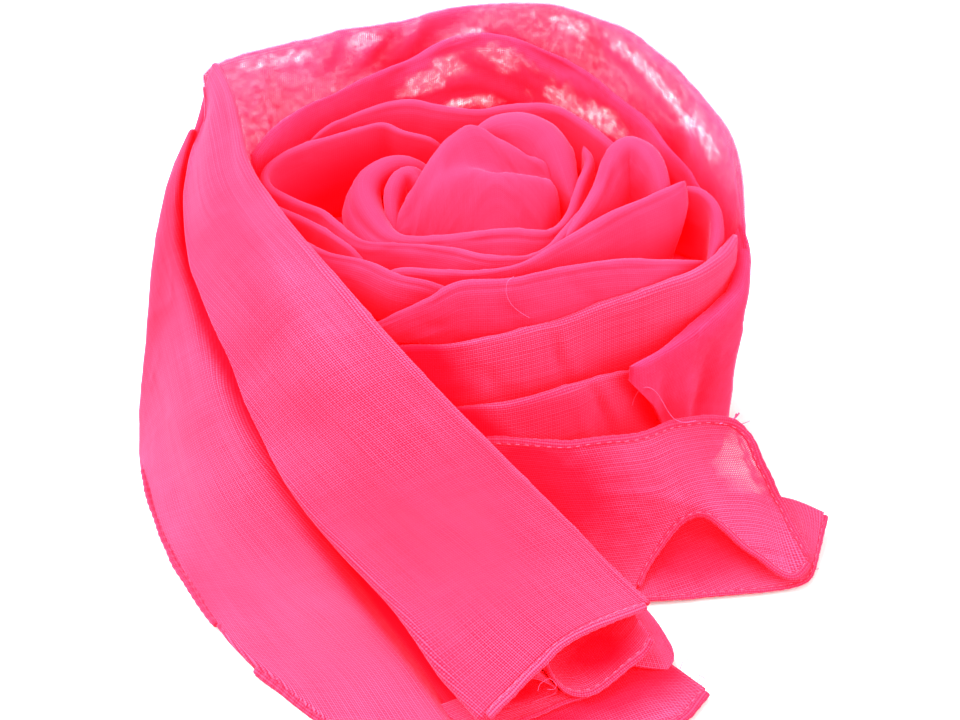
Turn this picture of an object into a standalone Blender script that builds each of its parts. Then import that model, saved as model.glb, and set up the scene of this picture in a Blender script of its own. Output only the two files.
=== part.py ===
"""A cotton scarf, folded lengthwise and wound into a roll that stands on its end.

The roll's own axis is +Z, its rolled edge rests on the plane z = 0, and the free end is
drawn over the roll's left front (-X, -Y) as a wide flat tail. Tables are in millimetres.
Each solid is one stretch of cloth that shows: two layers of voile with the air between.
"""
import math

import bmesh
import bpy
import numpy as np
from mathutils import Vector

MM = 0.001

WALL = 2.0             # a fold of the cloth: two layers and the air between them
SINGLE = 1.4           # a single hemmed layer with its droop
SEAM = 0.3             # clearance between stretches that touch
HEM_RADIUS = 1.3       # the narrow rolled hem, about 2.6 mm wide
HEM_SIDES = 2          # bevel resolution of a hem's round section

HEM_STEP = 2 * HEM_RADIUS   # shortest distance between a hem's points

CORE_TOP = 54.0        # the packed layers reach this high under the rosette
CORE_ROUND = 4.0       # rounding of the packed layers' upper edge
CORE_STEPS = 40        # points round the packed layers
ROUND_STEPS = 3        # rings in the rounding
ROSE_FOOT = CORE_TOP + SEAM
FLOOR_FOOT = 0.2       # the leaning walls' lowest row, so that no corner dips under the floor

TURN_SPACING = 6.5     # distance between the stations of a turn
TURN_FEWEST = 6        # stations on the shortest turn
TURN_LEVELS = [0.0, 0.35, 0.7, 0.9, 1.0]    # rows of points from a turn's foot to its ridge
TURN_BELLY = 0.12      # how far a leaning face bulges, as a share of its lean
ACROSS = 7             # points across a laid stretch
BUD_STATIONS = 17      # sections along the heart of the rosette
BUD_ACROSS = 11        # points across the heart of the rosette

PINK = (0.86, 0.045, 0.16, 1.0)
DEEP_PINK = (0.80, 0.020, 0.09, 1.0)
HEM_PINK = (0.74, 0.030, 0.13, 1.0)
CLOTH_ROUGHNESS = 0.85

# Packed layers: outline radius at each bearing (degrees, counter-clockwise from +X).
CORE_OUTLINE = [
    # bearing, radius
    (0, 64), (30, 61), (60, 57), (90, 57), (120, 58), (150, 70),
    (180, 71), (210, 60), (240, 49), (270, 46), (300, 48), (330, 57),
]

# A turn of the roll is a wall. Each row is a place on its ridge, from left to right:
# plan x and y, height of the ridge, height of the foot, and how far the foot
# stands out towards the front of the ridge.
TURNS = {
    "bud_back": [
        # x, y, top, foot, lean
        (1.5, 23, 84, ROSE_FOOT, 0),
        (6, 25, 86, ROSE_FOOT, 0),
        (13, 25.5, 87, ROSE_FOOT, 0),
        (20, 23, 86.5, ROSE_FOOT, 0),
        (24, 18, 85, ROSE_FOOT, 0),
        (26, 11, 81, ROSE_FOOT, 0),
        (26, 5, 77, ROSE_FOOT, 0),
    ],
    "turn_1": [
        (-19, 15, 77, ROSE_FOOT, 1),
        (-27, 16, 77, ROSE_FOOT, 1),
        (-33, 11, 75, ROSE_FOOT, 1),
        (-34, 5, 71, ROSE_FOOT, 1),
        (-31, -2, 68, ROSE_FOOT, 2),
        (-24, -10, 67, ROSE_FOOT, 2),
        (-16, -14, 68, ROSE_FOOT, 2),
        (-3, -16, 71, ROSE_FOOT, 3),
        (9, -17, 73, ROSE_FOOT, 3),
        (19, -16, 72, ROSE_FOOT, 2),
        (25, -8, 73, ROSE_FOOT, 1),
        (29, 2, 77, ROSE_FOOT, 0),
        (31.5, 10, 79, ROSE_FOOT, 0),
        (30, 17, 80, ROSE_FOOT, 0),
    ],
    "turn_2_back": [
        (-59, 13, 78, ROSE_FOOT, 0),
        (-52, 17, 80, ROSE_FOOT, 0),
        (-39, 22, 82, ROSE_FOOT, 0),
        (-29, 25, 83, ROSE_FOOT, 0),
        (-22, 22, 82, ROSE_FOOT, 0),
        (-14, 19.5, 81, ROSE_FOOT, 0),
    ],
    "turn_2_left": [
        (-62.5, 10.5, 76, ROSE_FOOT, 0),
        (-61, 4, 74, ROSE_FOOT, 0),
        (-53, 0, 72, ROSE_FOOT, 0),
        (-45, -4, 71, ROSE_FOOT, 1),
        (-41, -8, 70, ROSE_FOOT, 1),
        (-36, -13, 69, ROSE_FOOT, 1),
        (-32, -16, 69, ROSE_FOOT, 1),
    ],
    "turn_2_front": [
        (-29, -17, 69, ROSE_FOOT, 1),
        (-23, -18, 70, ROSE_FOOT, 2),
        (-16, -20, 71, ROSE_FOOT, 3),
        (-8, -23, 71, ROSE_FOOT, 3),
        (0, -26.5, 71, ROSE_FOOT, 2),
        (6, -27.5, 71, ROSE_FOOT, 1),
        (13, -26.5, 71, ROSE_FOOT, 1),
        (19, -23.5, 72, ROSE_FOOT, 1),
        (24, -17, 73, ROSE_FOOT, 1),
        (29, -10, 75, ROSE_FOOT, 1),
    ],
    "turn_3_left": [
        (-65, 4, 72, ROSE_FOOT, 0),
        (-60, -1, 71, ROSE_FOOT, 0),
        (-51, -6, 70, ROSE_FOOT, 0),
        (-43, -12, 69, ROSE_FOOT, 0),
        (-36, -18, 68, ROSE_FOOT, 0),
    ],
    "turn_3": [
        (-22, -26, 65, ROSE_FOOT, 0),
        (-13, -29, 67, ROSE_FOOT, 0),
        (-3, -31.5, 69, ROSE_FOOT, 0),
        (5, -32.5, 71, ROSE_FOOT, 0),
        (12, -32, 72.5, ROSE_FOOT, 0),
        (22, -26, 75, ROSE_FOOT, 1),
        (30, -20, 76, ROSE_FOOT, 2),
        (38, -15, 78, ROSE_FOOT, 3),
        (47, -10, 79.5, ROSE_FOOT, 3),
        (57, -4, 80.5, ROSE_FOOT, 2),
    ],
    "turn_4": [
        (-53, -15, 70, ROSE_FOOT, 0),
        (-47, -19, 69, ROSE_FOOT, 1),
        (-41, -22.5, 69, ROSE_FOOT, 2),
        (-34, -24.5, 69, ROSE_FOOT, 3),
        (-29, -27.5, 69, ROSE_FOOT, 3),
        (-22, -33, 69, ROSE_FOOT, 2),
        (-14, -34.5, 68, ROSE_FOOT, 1),
        (-6, -36, 66, ROSE_FOOT, 0),
    ],
    "turn_5": [
        (-32, -40, 58, ROSE_FOOT, 0),
        (-27, -41, 60, ROSE_FOOT, 1),
        (-21, -41, 63, ROSE_FOOT, 2),
        (-13, -41, 67, ROSE_FOOT, 3),
        (-5, -40, 71, ROSE_FOOT, 4),
        (8, -39, 72, ROSE_FOOT, 5),
        (17, -37, 73, ROSE_FOOT, 5),
        (32, -33, 73, ROSE_FOOT, 5),
        (46, -28, 70, ROSE_FOOT, 4),
        (57, -23, 67, ROSE_FOOT, 2),
    ],
    "turn_6": [
        (-28, -50, 56, FLOOR_FOOT, 6),
        (-20, -51, 58, FLOOR_FOOT, 6),
        (-8, -50, 59, FLOOR_FOOT, 7),
        (5, -47.5, 60, FLOOR_FOOT, 8),
        (19, -44, 61.5, FLOOR_FOOT, 8),
        (32, -39.5, 64, FLOOR_FOOT, 7),
        (46, -34.5, 66, FLOOR_FOOT, 6),
        (58, -29, 67, FLOOR_FOOT, 3),
        (66, -22, 68, FLOOR_FOOT, 0),
        (71.4, -13, 68.5, FLOOR_FOOT, 0),
    ],
    "turn_7": [
        (-20, -59, 45, FLOOR_FOOT, 2),
        (-12, -60, 46, FLOOR_FOOT, 2),
        (-2, -60, 46, FLOOR_FOOT, 3),
        (8, -58.5, 46, FLOOR_FOOT, 4),
        (20, -55.5, 47, FLOOR_FOOT, 4),
        (32, -50.5, 48.5, FLOOR_FOOT, 3),
        (39, -47.5, 48, FLOOR_FOOT, 1),
        (44, -44.6, 45.5, FLOOR_FOOT, 0),
    ],
    "turn_8_right": [
        (39.5, -51.5, 52.5, 48, 0),
        (47, -47, 52, 38, 0),
        (54, -42, 53, 20, 0),
        (60, -37, 54.5, FLOOR_FOOT, 0),
        (66, -31.5, 57, FLOOR_FOOT, 0),
        (71, -25, 59.5, FLOOR_FOOT, 0),
        (74, -14, 63.5, FLOOR_FOOT, 0),
    ],
    "petal_right": [
        (34, -3, 77, ROSE_FOOT, 0),
        (35.5, 5, 80, ROSE_FOOT, 1),
        (38, 10, 83, ROSE_FOOT, 2),
        (42, 11, 84, ROSE_FOOT, 5),
        (46, 9, 84, ROSE_FOOT, 6),
        (50, 5, 83, ROSE_FOOT, 4),
        (53, 0, 81, ROSE_FOOT, 0),
    ],
    "pocket_right": [
        (58, 2, 78, ROSE_FOOT, 0),
        (62, -3, 77, ROSE_FOOT, 0),
        (65, -9, 75, ROSE_FOOT, 0),
        (65, -14, 71, ROSE_FOOT, 0),
        (63, -18, 68, ROSE_FOOT, 0),
    ],
    "back_fold_1": [
        (-46, 27, 80, ROSE_FOOT, 0),
        (-41, 29, 82, ROSE_FOOT, 0),
        (-30, 33, 84, ROSE_FOOT, 0),
        (-21, 33.5, 85, ROSE_FOOT, 0),
        (-12, 32, 84, ROSE_FOOT, 0),
        (0, 31, 83, ROSE_FOOT, 0),
        (9, 32, 85, ROSE_FOOT, 0),
        (19, 30, 86, ROSE_FOOT, 0),
        (29, 24.5, 84, ROSE_FOOT, 0),
        (36, 18, 82, ROSE_FOOT, 0),
    ],
    "back_fold_2": [
        (-66, 14, 78, ROSE_FOOT, 0),
        (-61, 22, 81, ROSE_FOOT, 0),
        (-53, 32, 84, ROSE_FOOT, 0),
        (-41, 39, 87, ROSE_FOOT, 0),
        (-30, 43, 90, ROSE_FOOT, 0),
        (-20, 46, 93, ROSE_FOOT, 0),
        (-9, 50, 97, ROSE_FOOT, 0),
        (0, 52, 98, ROSE_FOOT, 0),
        (12, 51, 97, ROSE_FOOT, 0),
        (24, 45, 94, ROSE_FOOT, 0),
        (36, 35, 90, ROSE_FOOT, 0),
        (46, 24, 87, ROSE_FOOT, 0),
        (53, 12, 84, ROSE_FOOT, 0),
    ],
    "wall_back": [
        (-76, 38, 95.5, FLOOR_FOOT, 0),
        (-62, 43, 98, FLOOR_FOOT, -3),
        (-40, 51, 100, FLOOR_FOOT, -3),
        (-24, 55, 100.5, FLOOR_FOOT, -3),
        (-15, 57, 102, FLOOR_FOOT, -3),
        (0, 60, 103.5, FLOOR_FOOT, -3),
        (15, 60, 104.5, FLOOR_FOOT, -3),
        (24, 57, 105, FLOOR_FOOT, -3),
        (35, 50, 104, FLOOR_FOOT, -3),
        (46, 40, 102, FLOOR_FOOT, -3),
        (59, 24, 97, FLOOR_FOOT, -3),
        (67, 10, 92, FLOOR_FOOT, -2),
        (71, 2, 86, FLOOR_FOOT, -1),
        (73, -4, 78, FLOOR_FOOT, 0),
        (74.2, -13, 66, FLOOR_FOOT, 0),
    ],
    "side_left": [
        (-100, -24.5, 8, FLOOR_FOOT, 0),
        (-98, -21, 22, FLOOR_FOOT, 0),
        (-94.5, -15, 40, FLOOR_FOOT, 0),
        (-90, -4, 57, FLOOR_FOOT, 0),
        (-86, 8, 70, FLOOR_FOOT, 0),
        (-82, 22, 80, FLOOR_FOOT, 0),
        (-78.2, 36.4, 89, FLOOR_FOOT, 0),
    ],
}

# The heart of the rosette: each row runs from the hidden back over the peak and
# the front roll to the front, and rests on the packed layers.
BUD = [
    # back x, y, z,   peak x, y, z,     valley x, y, z,   roll x, y, z,      front x, y, z
    (-26, 2, 60, -24, -3, 66, -23, -5, 67, -22, -6.5, 66, -22, -7.5, 58),
    (-22, 9, 62, -20.5, 2, 74, -17, -3, 73, -15.5, -5, 72.5, -17, -10, 58),
    (-16, 16, 64, -14.5, 8.5, 80, -11, 0, 75, -10, -2, 76, -11, -11.5, 58),
    (-10, 22, 66, -8, 16, 83.5, -4, 5, 76, -3, 0, 77.5, -3, -12.5, 58),
    (-2, 20.5, 66, -2, 18, 85.5, 4, 6, 76.5, 4, 0, 78, 4, -13, 58),
    (7, 20, 66, 5.5, 14, 83, 9, 6, 76.5, 11, 0, 78, 11, -13, 58),
    (15, 18, 64, 13, 10, 80, 15, 5, 76, 17.5, -0.5, 77, 17, -12.5, 58),
    (20, 11, 60, 19, 7, 77, 20, 3, 75, 21.5, -2, 74.5, 21, -8, 58),
    (22.5, 6, 58, 22.5, 3, 64, 22.7, 1, 66, 23, -1, 64, 23, -4, 58),
]

# Laid stretches of the free ends: each row is a section across the cloth.
TAIL_TOP = [
    # right x, y, z,   middle x, y, z,    left x, y, z
    (-79, 35, 95, -81, 33, 93.5, -82, 30, 89.5),
    (-70, 22, 92.5, -77, 20, 91, -83, 18, 85),
    (-66, 10, 89, -77, 6, 87, -85, 8, 78.5),
    (-63, -4, 84.5, -74, -10, 81, -84, -6, 71.5),
    (-56, -17, 80, -69, -22, 75, -79, -24, 63.5),
    (-40, -41, 74, -56, -44, 68, -71, -46, 51.5),
    (-24, -60, 66.5, -43, -63, 58, -62, -63, 41.5),
    (-8, -72, 55, -29, -77, 46, -50, -78, 32.5),
    (8, -81, 42, -14, -88, 35, -37, -91, 23.5),
    (24, -89, 28.5, 1, -99, 25, -24, -106, 16.5),
    (33, -95, 21, 11, -107, 20.5, -12, -122, 11.5),
    (42, -101.5, 15, 21, -114, 16, -2, -133, 7),
]
TAIL_UNDER = [
    # inner x, y, z,    middle x, y, z,    outer x, y, z
    (-79, 18, 80, -84, 17, 81, -87, 16, 78),
    (-79, 2, 72, -86, 1, 70, -91.5, -1, 66),
    (-74, -20, 60, -86, -16, 53, -97, -16, 43),
    (-68, -40, 49, -86, -32, 32, -103, -25, 8),
    (-60, -57, 39, -80, -51, 22, -98.5, -40, 1.4),
    (-49, -72, 30, -70, -70, 15, -88, -62, 1.4),
    (-36, -85, 21, -58, -87, 10, -77, -82, 1.4),
    (-23, -100, 13.5, -46, -103, 7, -63, -102, 1.4),
    (-12, -117, 8, -31, -118, 4.5, -46, -118, 1.4),
    (-5, -132, 3.6, -18, -134, 2.4, -27, -135, 1.4),
]
# The tail's folded edge turns under: how deep the return hangs below each row of
# TAIL_TOP, from its second row on.
RETURN_DROP = [8, 9, 10, 12, 70, 62, 51, 38, 14, 4.5]
RETURN_INSET = 4.5     # how far in from the folded edge the return starts
RETURN_TUCK = 4.0      # how much further in it ends
RETURN_BELOW = 1.4 * WALL + SEAM    # the return's upper edge lies this far under TAIL_TOP
RETURN_STATIONS = 20
RETURN_LEVELS = [0.0, 0.35, 0.7, 1.0]
TAIL_MIDDLE = [
    # back x, y, z,      middle x, y, z,     front x, y, z
    (-8, -117, 5.2, -5, -123, 5, -2, -129, 5),
    (-4, -110, 7.2, 0, -117, 7, 3, -121.5, 7),
    (2, -104, 9, 7, -112, 8.6, 10, -118, 8.2),
    (10, -101, 9.6, 15, -109, 9.2, 18, -118, 6.4),
    (18, -100, 9.8, 23, -110, 8.2, 27, -120.5, 5.1),
    (26, -99, 10, 31, -107, 8.8, 35, -115.5, 5.6),
    (34, -98, 9.6, 37, -103, 8.6, 40, -109, 6.4),
]
TAIL_BOTTOM = [
    (-6, -116, 1.4, -3, -126, 1.4, 0, -140, 1.4),
    (6, -106, 2.2, 12, -121, 1.8, 17, -137, 1.4),
    (18, -98, 3.2, 27, -115, 2.4, 34, -132, 1.4),
    (30, -94, 4, 40, -109, 2.8, 50, -126, 1.4),
    (38, -96, 4.4, 47, -106, 2.9, 58.5, -117.5, 1.4),
]
END_UPPER = [
    # top x, y, z,       middle x, y, z,      foot x, y, z
    (-2, -64.5, 36.5, 4, -74, 19, 11, -83.5, 2),
    (6, -63.4, 36.5, 13, -76, 18.5, 21, -87, 2),
    (14, -62.2, 36, 22.5, -77, 18, 31, -89.5, 2),
    (22, -61.5, 35.5, 31, -76.5, 19, 42, -86.5, 3),
    (32, -60.5, 35, 40, -73.5, 20, 48, -78, 9.5),
    (43, -59, 34.5, 50, -69, 21.5, 56, -72, 14.5),
    (52, -56.5, 34.5, 58, -65, 22.5, 63, -71, 15.5),
    (61, -54.5, 34, 66, -62.5, 20.5, 71, -75, 10.5),
    (70, -54.5, 32, 78, -64, 18.5, 82, -80, 7),
]
END_LOWER = [
    (38, -68, 5, 43, -77, 3.2, 49, -85.5, 1.5),
    (49, -65, 6.5, 54, -72, 6, 60, -85, 1.5),
    (61, -61, 8, 67, -68, 7, 73, -84, 1.5),
    (75, -57, 9, 80, -66, 6, 88, -79, 1.5),
    (86, -56, 8, 91, -60, 6, 95.5, -67, 2.6),
]

LAID = {
    # name: rows, stations along them, thickness
    "tail_top": (TAIL_TOP, 26, WALL),
    "tail_under": (TAIL_UNDER, 22, WALL),
    "tail_middle": (TAIL_MIDDLE, 15, SINGLE),
    "tail_bottom": (TAIL_BOTTOM, 11, SINGLE),
    "end_upper": (END_UPPER, 20, SINGLE),
    "end_lower": (END_LOWER, 11, SINGLE),
}
# Hems on each laid stretch: (side of the cloth, first station or column, last one).
# "start" and "end" run across the first and last section, "left" and "right" run
# along the sections' first and last points.
HEMS = {
    "tail_top": {"hem_tail_end": [("end", 0, 6)]},
    "tail_under": {"hem_tail_side": [("right", 8, 21)]},
    "tail_middle": {"hem_tail_middle": [("right", 0, 14)]},
    "tail_bottom": {"hem_tail_bottom": [("end", 0, 6), ("right", 9, 0)]},
    "end_upper": {
        "hem_end_top": [("left", 2, 19), ("end", 1, 6)],
        "hem_end_wave": [("right", 6, 18)],
    },
    "end_lower": {"hem_end_lower": [("right", 0, 10), ("end", 5, 0)]},
}


def clearScene():
    for item in list(bpy.data.objects):
        bpy.data.objects.remove(item, do_unlink=True)


def makeCollection(name):
    collection = bpy.data.collections.new(name)
    bpy.context.scene.collection.children.link(collection)
    return collection


def clothMaterial(name, colour):
    material = bpy.data.materials.new(name)
    material.use_nodes = True
    shader = material.node_tree.nodes["Principled BSDF"]
    shader.inputs["Base Color"].default_value = colour
    shader.inputs["Roughness"].default_value = CLOTH_ROUGHNESS
    shader.inputs["Metallic"].default_value = 0.0
    return material


def spline(rows, count, closed=False):
    """Values on a smooth curve through the rows, evenly spaced in row number."""
    table = np.array(rows, dtype=float)
    last = len(table)
    values = []
    for step in range(count):
        place = step * last / count if closed else step * (last - 1) / (count - 1)
        start = min(int(place), last - 1 if closed else last - 2)
        part = place - start
        picks = [start - 1, start, start + 1, start + 2]
        if closed:
            a, b, c, d = (table[pick % last] for pick in picks)
        else:
            a, b, c, d = (table[min(max(pick, 0), last - 1)] for pick in picks)
        values.append(
            0.5 * (2 * b + (c - a) * part + (2 * a - 5 * b + 4 * c - d) * part ** 2
                   + (3 * b - a - 3 * c + d) * part ** 3)
        )
    return np.array(values)


def gridObject(name, points, collection, material):
    """An open sheet from a rectangular array of points, in millimetres."""
    rows, columns = len(points), len(points[0])
    sheet = bmesh.new()
    bmesh.ops.create_grid(sheet, x_segments=columns - 1, y_segments=rows - 1, size=1.0)
    sheet.verts.ensure_lookup_table()
    for index, vertex in enumerate(sheet.verts):
        row, column = divmod(index, columns)
        vertex.co = Vector(points[row][column]) * MM
    mesh = bpy.data.meshes.new(name)
    sheet.to_mesh(mesh)
    sheet.free()
    piece = bpy.data.objects.new(name, mesh)
    mesh.materials.append(material)
    collection.objects.link(piece)
    return piece


def thicken(piece, thickness):
    wall = piece.modifiers.new("thickness", "SOLIDIFY")
    wall.thickness = thickness * MM
    wall.offset = 0.0
    wall.use_even_offset = True
    return piece


def turnWall(name, rows, collection, material):
    """A turn that stands on edge: ridge, leaning face and foot."""
    length = sum(math.dist(a[:2], b[:2]) for a, b in zip(rows, rows[1:]))
    stations = max(TURN_FEWEST, round(length / TURN_SPACING))
    ridge = spline(rows, stations)
    ahead = np.gradient(ridge[:, :2], axis=0)
    ahead /= np.linalg.norm(ahead, axis=1)[:, None]
    points = []
    for (x, y, top, foot, lean), (dx, dy) in zip(ridge, ahead):
        foot = max(foot, FLOOR_FOOT)
        column = []
        for level in TURN_LEVELS:
            out = lean * (1 - level + TURN_BELLY * math.sin(math.pi * level))
            height = foot + (top - WALL / 2 - foot) * level
            column.append((x + dy * out, y - dx * out, height))
        points.append(column)
    return thicken(gridObject(name, points, collection, material), WALL)


def sheetGrid(rows, stations):
    """Centre points of a laid stretch, one list for each station."""
    points = []
    for row in spline(rows, stations):
        points.append(spline([row[0:3], row[3:6], row[6:9]], ACROSS))
    return np.array(points)


def tailReturn(collection, material):
    """The side of the tail's folded edge, from under the edge down to what it rests on."""
    points = []
    table = [(*row[0:6], drop) for row, drop in zip(TAIL_TOP[1:], RETURN_DROP)]
    for row in spline(table, RETURN_STATIONS):
        right, middle, drop = Vector(row[0:3]), Vector(row[3:6]), row[6]
        inward = (middle - right).normalized()
        level_inward = Vector((inward.x, inward.y, 0.0)).normalized()
        top = right + inward * RETURN_INSET - Vector((0.0, 0.0, RETURN_BELOW))
        foot = top + level_inward * RETURN_TUCK
        foot.z = max(top.z - drop, FLOOR_FOOT)
        points.append([foot.lerp(top, level) for level in RETURN_LEVELS])
    return thicken(gridObject("tail_return", points, collection, material), WALL)


def borderPlaces(border, stations):
    """Row and column of each grid point that a hem follows."""
    places = []
    for side, first, last in border:
        step = 1 if last >= first else -1
        run = range(first, last + step, step)
        if side in ("start", "end"):
            row = 0 if side == "start" else stations - 1
            places += [(row, column) for column in run]
        else:
            column = 0 if side == "left" else ACROSS - 1
            places += [(row, column) for row in run]
    return places


def hemPath(grid, border, thickness):
    """The border's points moved out of the cloth, past the seam, to the hem's centre."""
    edge = np.array([grid[row][column] for row, column in border])
    along = np.gradient(edge, axis=0)
    along /= np.linalg.norm(along, axis=1)[:, None]
    last_row, last_column = len(grid) - 1, len(grid[0]) - 1
    path = []
    for (row, column), place, run in zip(border, edge, along):
        inner_row = 1 if row == 0 else last_row - 1 if row == last_row else row
        inner_column = 1 if column == 0 else last_column - 1 if column == last_column else column
        out = place - grid[inner_row][inner_column]
        out -= np.dot(out, run) * run
        out /= np.linalg.norm(out)
        reach = SEAM + HEM_RADIUS
        lowest = HEM_RADIUS + FLOOR_FOOT
        if place[2] + out[2] * reach < lowest:
            reach += thickness / 2 * abs(out[2])
            out[2] = 0.0
            out /= np.linalg.norm(out)
        moved = Vector(place + out * reach)
        moved.z = max(moved.z, lowest)
        if not path or (moved - path[-1]).length > HEM_STEP:
            path.append(moved)
    return path


def hemTube(name, path, collection, material):
    """A narrow rolled hem: a round tube along its path."""
    curve = bpy.data.curves.new(name, "CURVE")
    curve.dimensions = "3D"
    curve.bevel_depth = HEM_RADIUS * MM
    curve.bevel_resolution = HEM_SIDES
    curve.use_fill_caps = True
    line = curve.splines.new("POLY")
    line.points.add(len(path) - 1)
    for knot, place in zip(line.points, path):
        knot.co = (*(place * MM), 1.0)
    curve.materials.append(material)
    piece = bpy.data.objects.new(name, curve)
    collection.objects.link(piece)
    return piece


def budSolid(collection, material):
    """The heart: its folded surface on top, a flat foot on the packed layers."""
    points = []
    for row in spline(BUD, BUD_STATIONS):
        section = [row[start:start + 3] for start in range(0, 15, 3)]
        points.append([tuple(point) for point in spline(section, BUD_ACROSS)])
    piece = gridObject("bud", points, collection, material)
    body = bmesh.new()
    body.from_mesh(piece.data)
    rim = [edge for edge in body.edges if edge.is_boundary]
    skirt = bmesh.ops.extrude_edge_only(body, edges=rim)["geom"]
    for vertex in (item for item in skirt if isinstance(item, bmesh.types.BMVert)):
        vertex.co.z = ROSE_FOOT * MM
    lower = [item for item in skirt if isinstance(item, bmesh.types.BMEdge) and item.is_boundary]
    bmesh.ops.contextual_create(body, geom=lower)
    bmesh.ops.recalc_face_normals(body, faces=body.faces)
    body.to_mesh(piece.data)
    body.free()
    return piece


def packedLayers(collection, material):
    """The layers that don't show, as one rounded solid with a flat foot."""
    outline = spline([(radius,) for _, radius in CORE_OUTLINE], CORE_STEPS, closed=True)[:, 0]
    rings = [(0.0, 0.0), (CORE_TOP * 0.5, 0.0), (CORE_TOP - CORE_ROUND, 0.0)]
    for step in range(1, ROUND_STEPS + 1):
        turn = math.pi / 2 * step / ROUND_STEPS
        rings.append((CORE_TOP - CORE_ROUND * (1 - math.sin(turn)), CORE_ROUND * (1 - math.cos(turn))))
    body = bmesh.new()
    base = bmesh.ops.create_circle(body, cap_ends=False, segments=CORE_STEPS, radius=1.0)["verts"]
    levels = [base]
    edges = list(body.edges)
    bottom = bmesh.ops.contextual_create(body, geom=base)["faces"]
    for _ in rings[1:]:
        made = bmesh.ops.extrude_edge_only(body, edges=edges)["geom"]
        edges = [item for item in made if isinstance(item, bmesh.types.BMEdge) and len(item.link_faces) == 1]
        levels.append([item for item in made if isinstance(item, bmesh.types.BMVert)])
    bearings = [math.atan2(vertex.co.y, vertex.co.x) for vertex in base]
    for (height, inset), level in zip(rings, levels):
        for bearing, vertex in zip(bearings, level):
            place = (bearing / (2 * math.pi)) % 1.0 * CORE_STEPS
            radius = outline[round(place) % CORE_STEPS] - inset
            vertex.co = Vector((radius * math.cos(bearing), radius * math.sin(bearing), height)) * MM
    bmesh.ops.contextual_create(body, geom=levels[-1])
    bmesh.ops.recalc_face_normals(body, faces=body.faces)
    mesh = bpy.data.meshes.new("packed_layers")
    body.to_mesh(mesh)
    body.free()
    mesh.materials.append(material)
    piece = bpy.data.objects.new("packed_layers", mesh)
    collection.objects.link(piece)
    return piece


def main():
    clearScene()
    scarf = makeCollection("cotton_scarf")
    cloth = clothMaterial("voile", PINK)
    inner = clothMaterial("voile_inner", DEEP_PINK)
    edge = clothMaterial("hem", HEM_PINK)
    packedLayers(scarf, inner)
    budSolid(scarf, cloth)
    for name, rows in TURNS.items():
        turnWall(name, rows, scarf, cloth)
    tailReturn(scarf, cloth)
    for name, (rows, stations, thickness) in LAID.items():
        grid = sheetGrid(rows, stations)
        thicken(gridObject(name, grid, scarf, cloth), thickness)
        for hem, border in HEMS.get(name, {}).items():
            path = hemPath(grid, borderPlaces(border, stations), thickness)
            hemTube(hem, path, scarf, edge)


main()
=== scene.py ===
import math

import bmesh
import bpy
import numpy as np
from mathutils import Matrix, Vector


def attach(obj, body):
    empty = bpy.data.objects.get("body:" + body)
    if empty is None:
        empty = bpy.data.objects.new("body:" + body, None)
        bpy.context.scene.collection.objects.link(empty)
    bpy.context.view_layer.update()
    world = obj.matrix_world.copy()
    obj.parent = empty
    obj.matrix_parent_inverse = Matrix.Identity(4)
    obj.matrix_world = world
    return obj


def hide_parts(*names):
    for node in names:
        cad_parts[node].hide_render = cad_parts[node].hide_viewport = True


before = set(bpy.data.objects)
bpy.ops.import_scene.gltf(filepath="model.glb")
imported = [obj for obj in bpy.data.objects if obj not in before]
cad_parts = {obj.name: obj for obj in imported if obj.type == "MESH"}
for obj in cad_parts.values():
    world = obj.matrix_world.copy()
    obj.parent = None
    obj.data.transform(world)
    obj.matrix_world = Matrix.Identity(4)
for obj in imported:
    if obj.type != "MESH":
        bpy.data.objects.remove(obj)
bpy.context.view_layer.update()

mm = 0.001

scarf = bpy.data.collections.new("cotton_scarf_cloth")
bpy.context.scene.collection.children.link(scarf)


# ---- camera and light: the photograph looks down at the roll from the front

view = {
    "place": (0.0, -0.3632, 0.2983),    # metres
    "tilt": 52.0,                       # degrees from straight down
    "lens": 56.25, "sensor": 36.0,      # mm
    "picture": (960, 720),              # pixels
    "pixelsPerMm": 3.9,                 # at the scarf
}


def makeCamera(settings):
    lens = bpy.data.cameras.new("camera")
    lens.lens = settings["lens"]
    lens.sensor_width = settings["sensor"]
    lens.clip_start = 0.01
    camera = bpy.data.objects.new("camera", lens)
    camera.location = settings["place"]
    camera.rotation_euler = (math.radians(settings["tilt"]), 0.0, 0.0)
    bpy.context.scene.collection.objects.link(camera)
    bpy.context.scene.camera = camera


studio = {
    "sky": (1.0, 1.0, 1.0, 1.0),
    "skyStrength": 1.3,
    "lamps": [
        # name, direction that it shines from, strength, how wide it looks in degrees
        ("key", (-0.52, 0.24, 0.82), 9.5, 50.0),
        ("side", (-0.95, 0.15, 0.28), 4.0, 50.0),
        ("right", (0.86, -0.36, 0.36), 6.0, 50.0),
        ("fill", (-0.10, -0.55, 0.83), 2.6, 60.0),
    ],
    "look": "High Contrast",    # the photograph is bright and strongly graded
    "floorSize": 6.0,
    "floorColour": (0.30, 0.295, 0.295, 1.0),
    "floorGlow": 0.15, "floorDrop": 0.0004,
    "bounces": 6,
}


def makeStudio(settings):
    world = bpy.data.worlds.new("studio")
    bpy.context.scene.world = world
    world.use_nodes = True
    sky = world.node_tree.nodes["Background"]
    sky.inputs["Color"].default_value = settings["sky"]
    sky.inputs["Strength"].default_value = settings["skyStrength"]
    for name, source, strength, width in settings["lamps"]:
        lamp = bpy.data.lights.new(name, "SUN")
        lamp.energy = strength
        lamp.angle = math.radians(width)
        holder = bpy.data.objects.new(name, lamp)
        holder.location = source
        holder.rotation_euler = Vector(source).to_track_quat("Z", "Y").to_euler()
        bpy.context.scene.collection.objects.link(holder)
    bpy.context.scene.view_settings.view_transform = "Standard"
    bpy.context.scene.view_settings.look = settings["look"]
    bpy.context.scene.cycles.max_bounces = settings["bounces"]


makeCamera(view)
makeStudio(studio)
print("camera and light are set")


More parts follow.
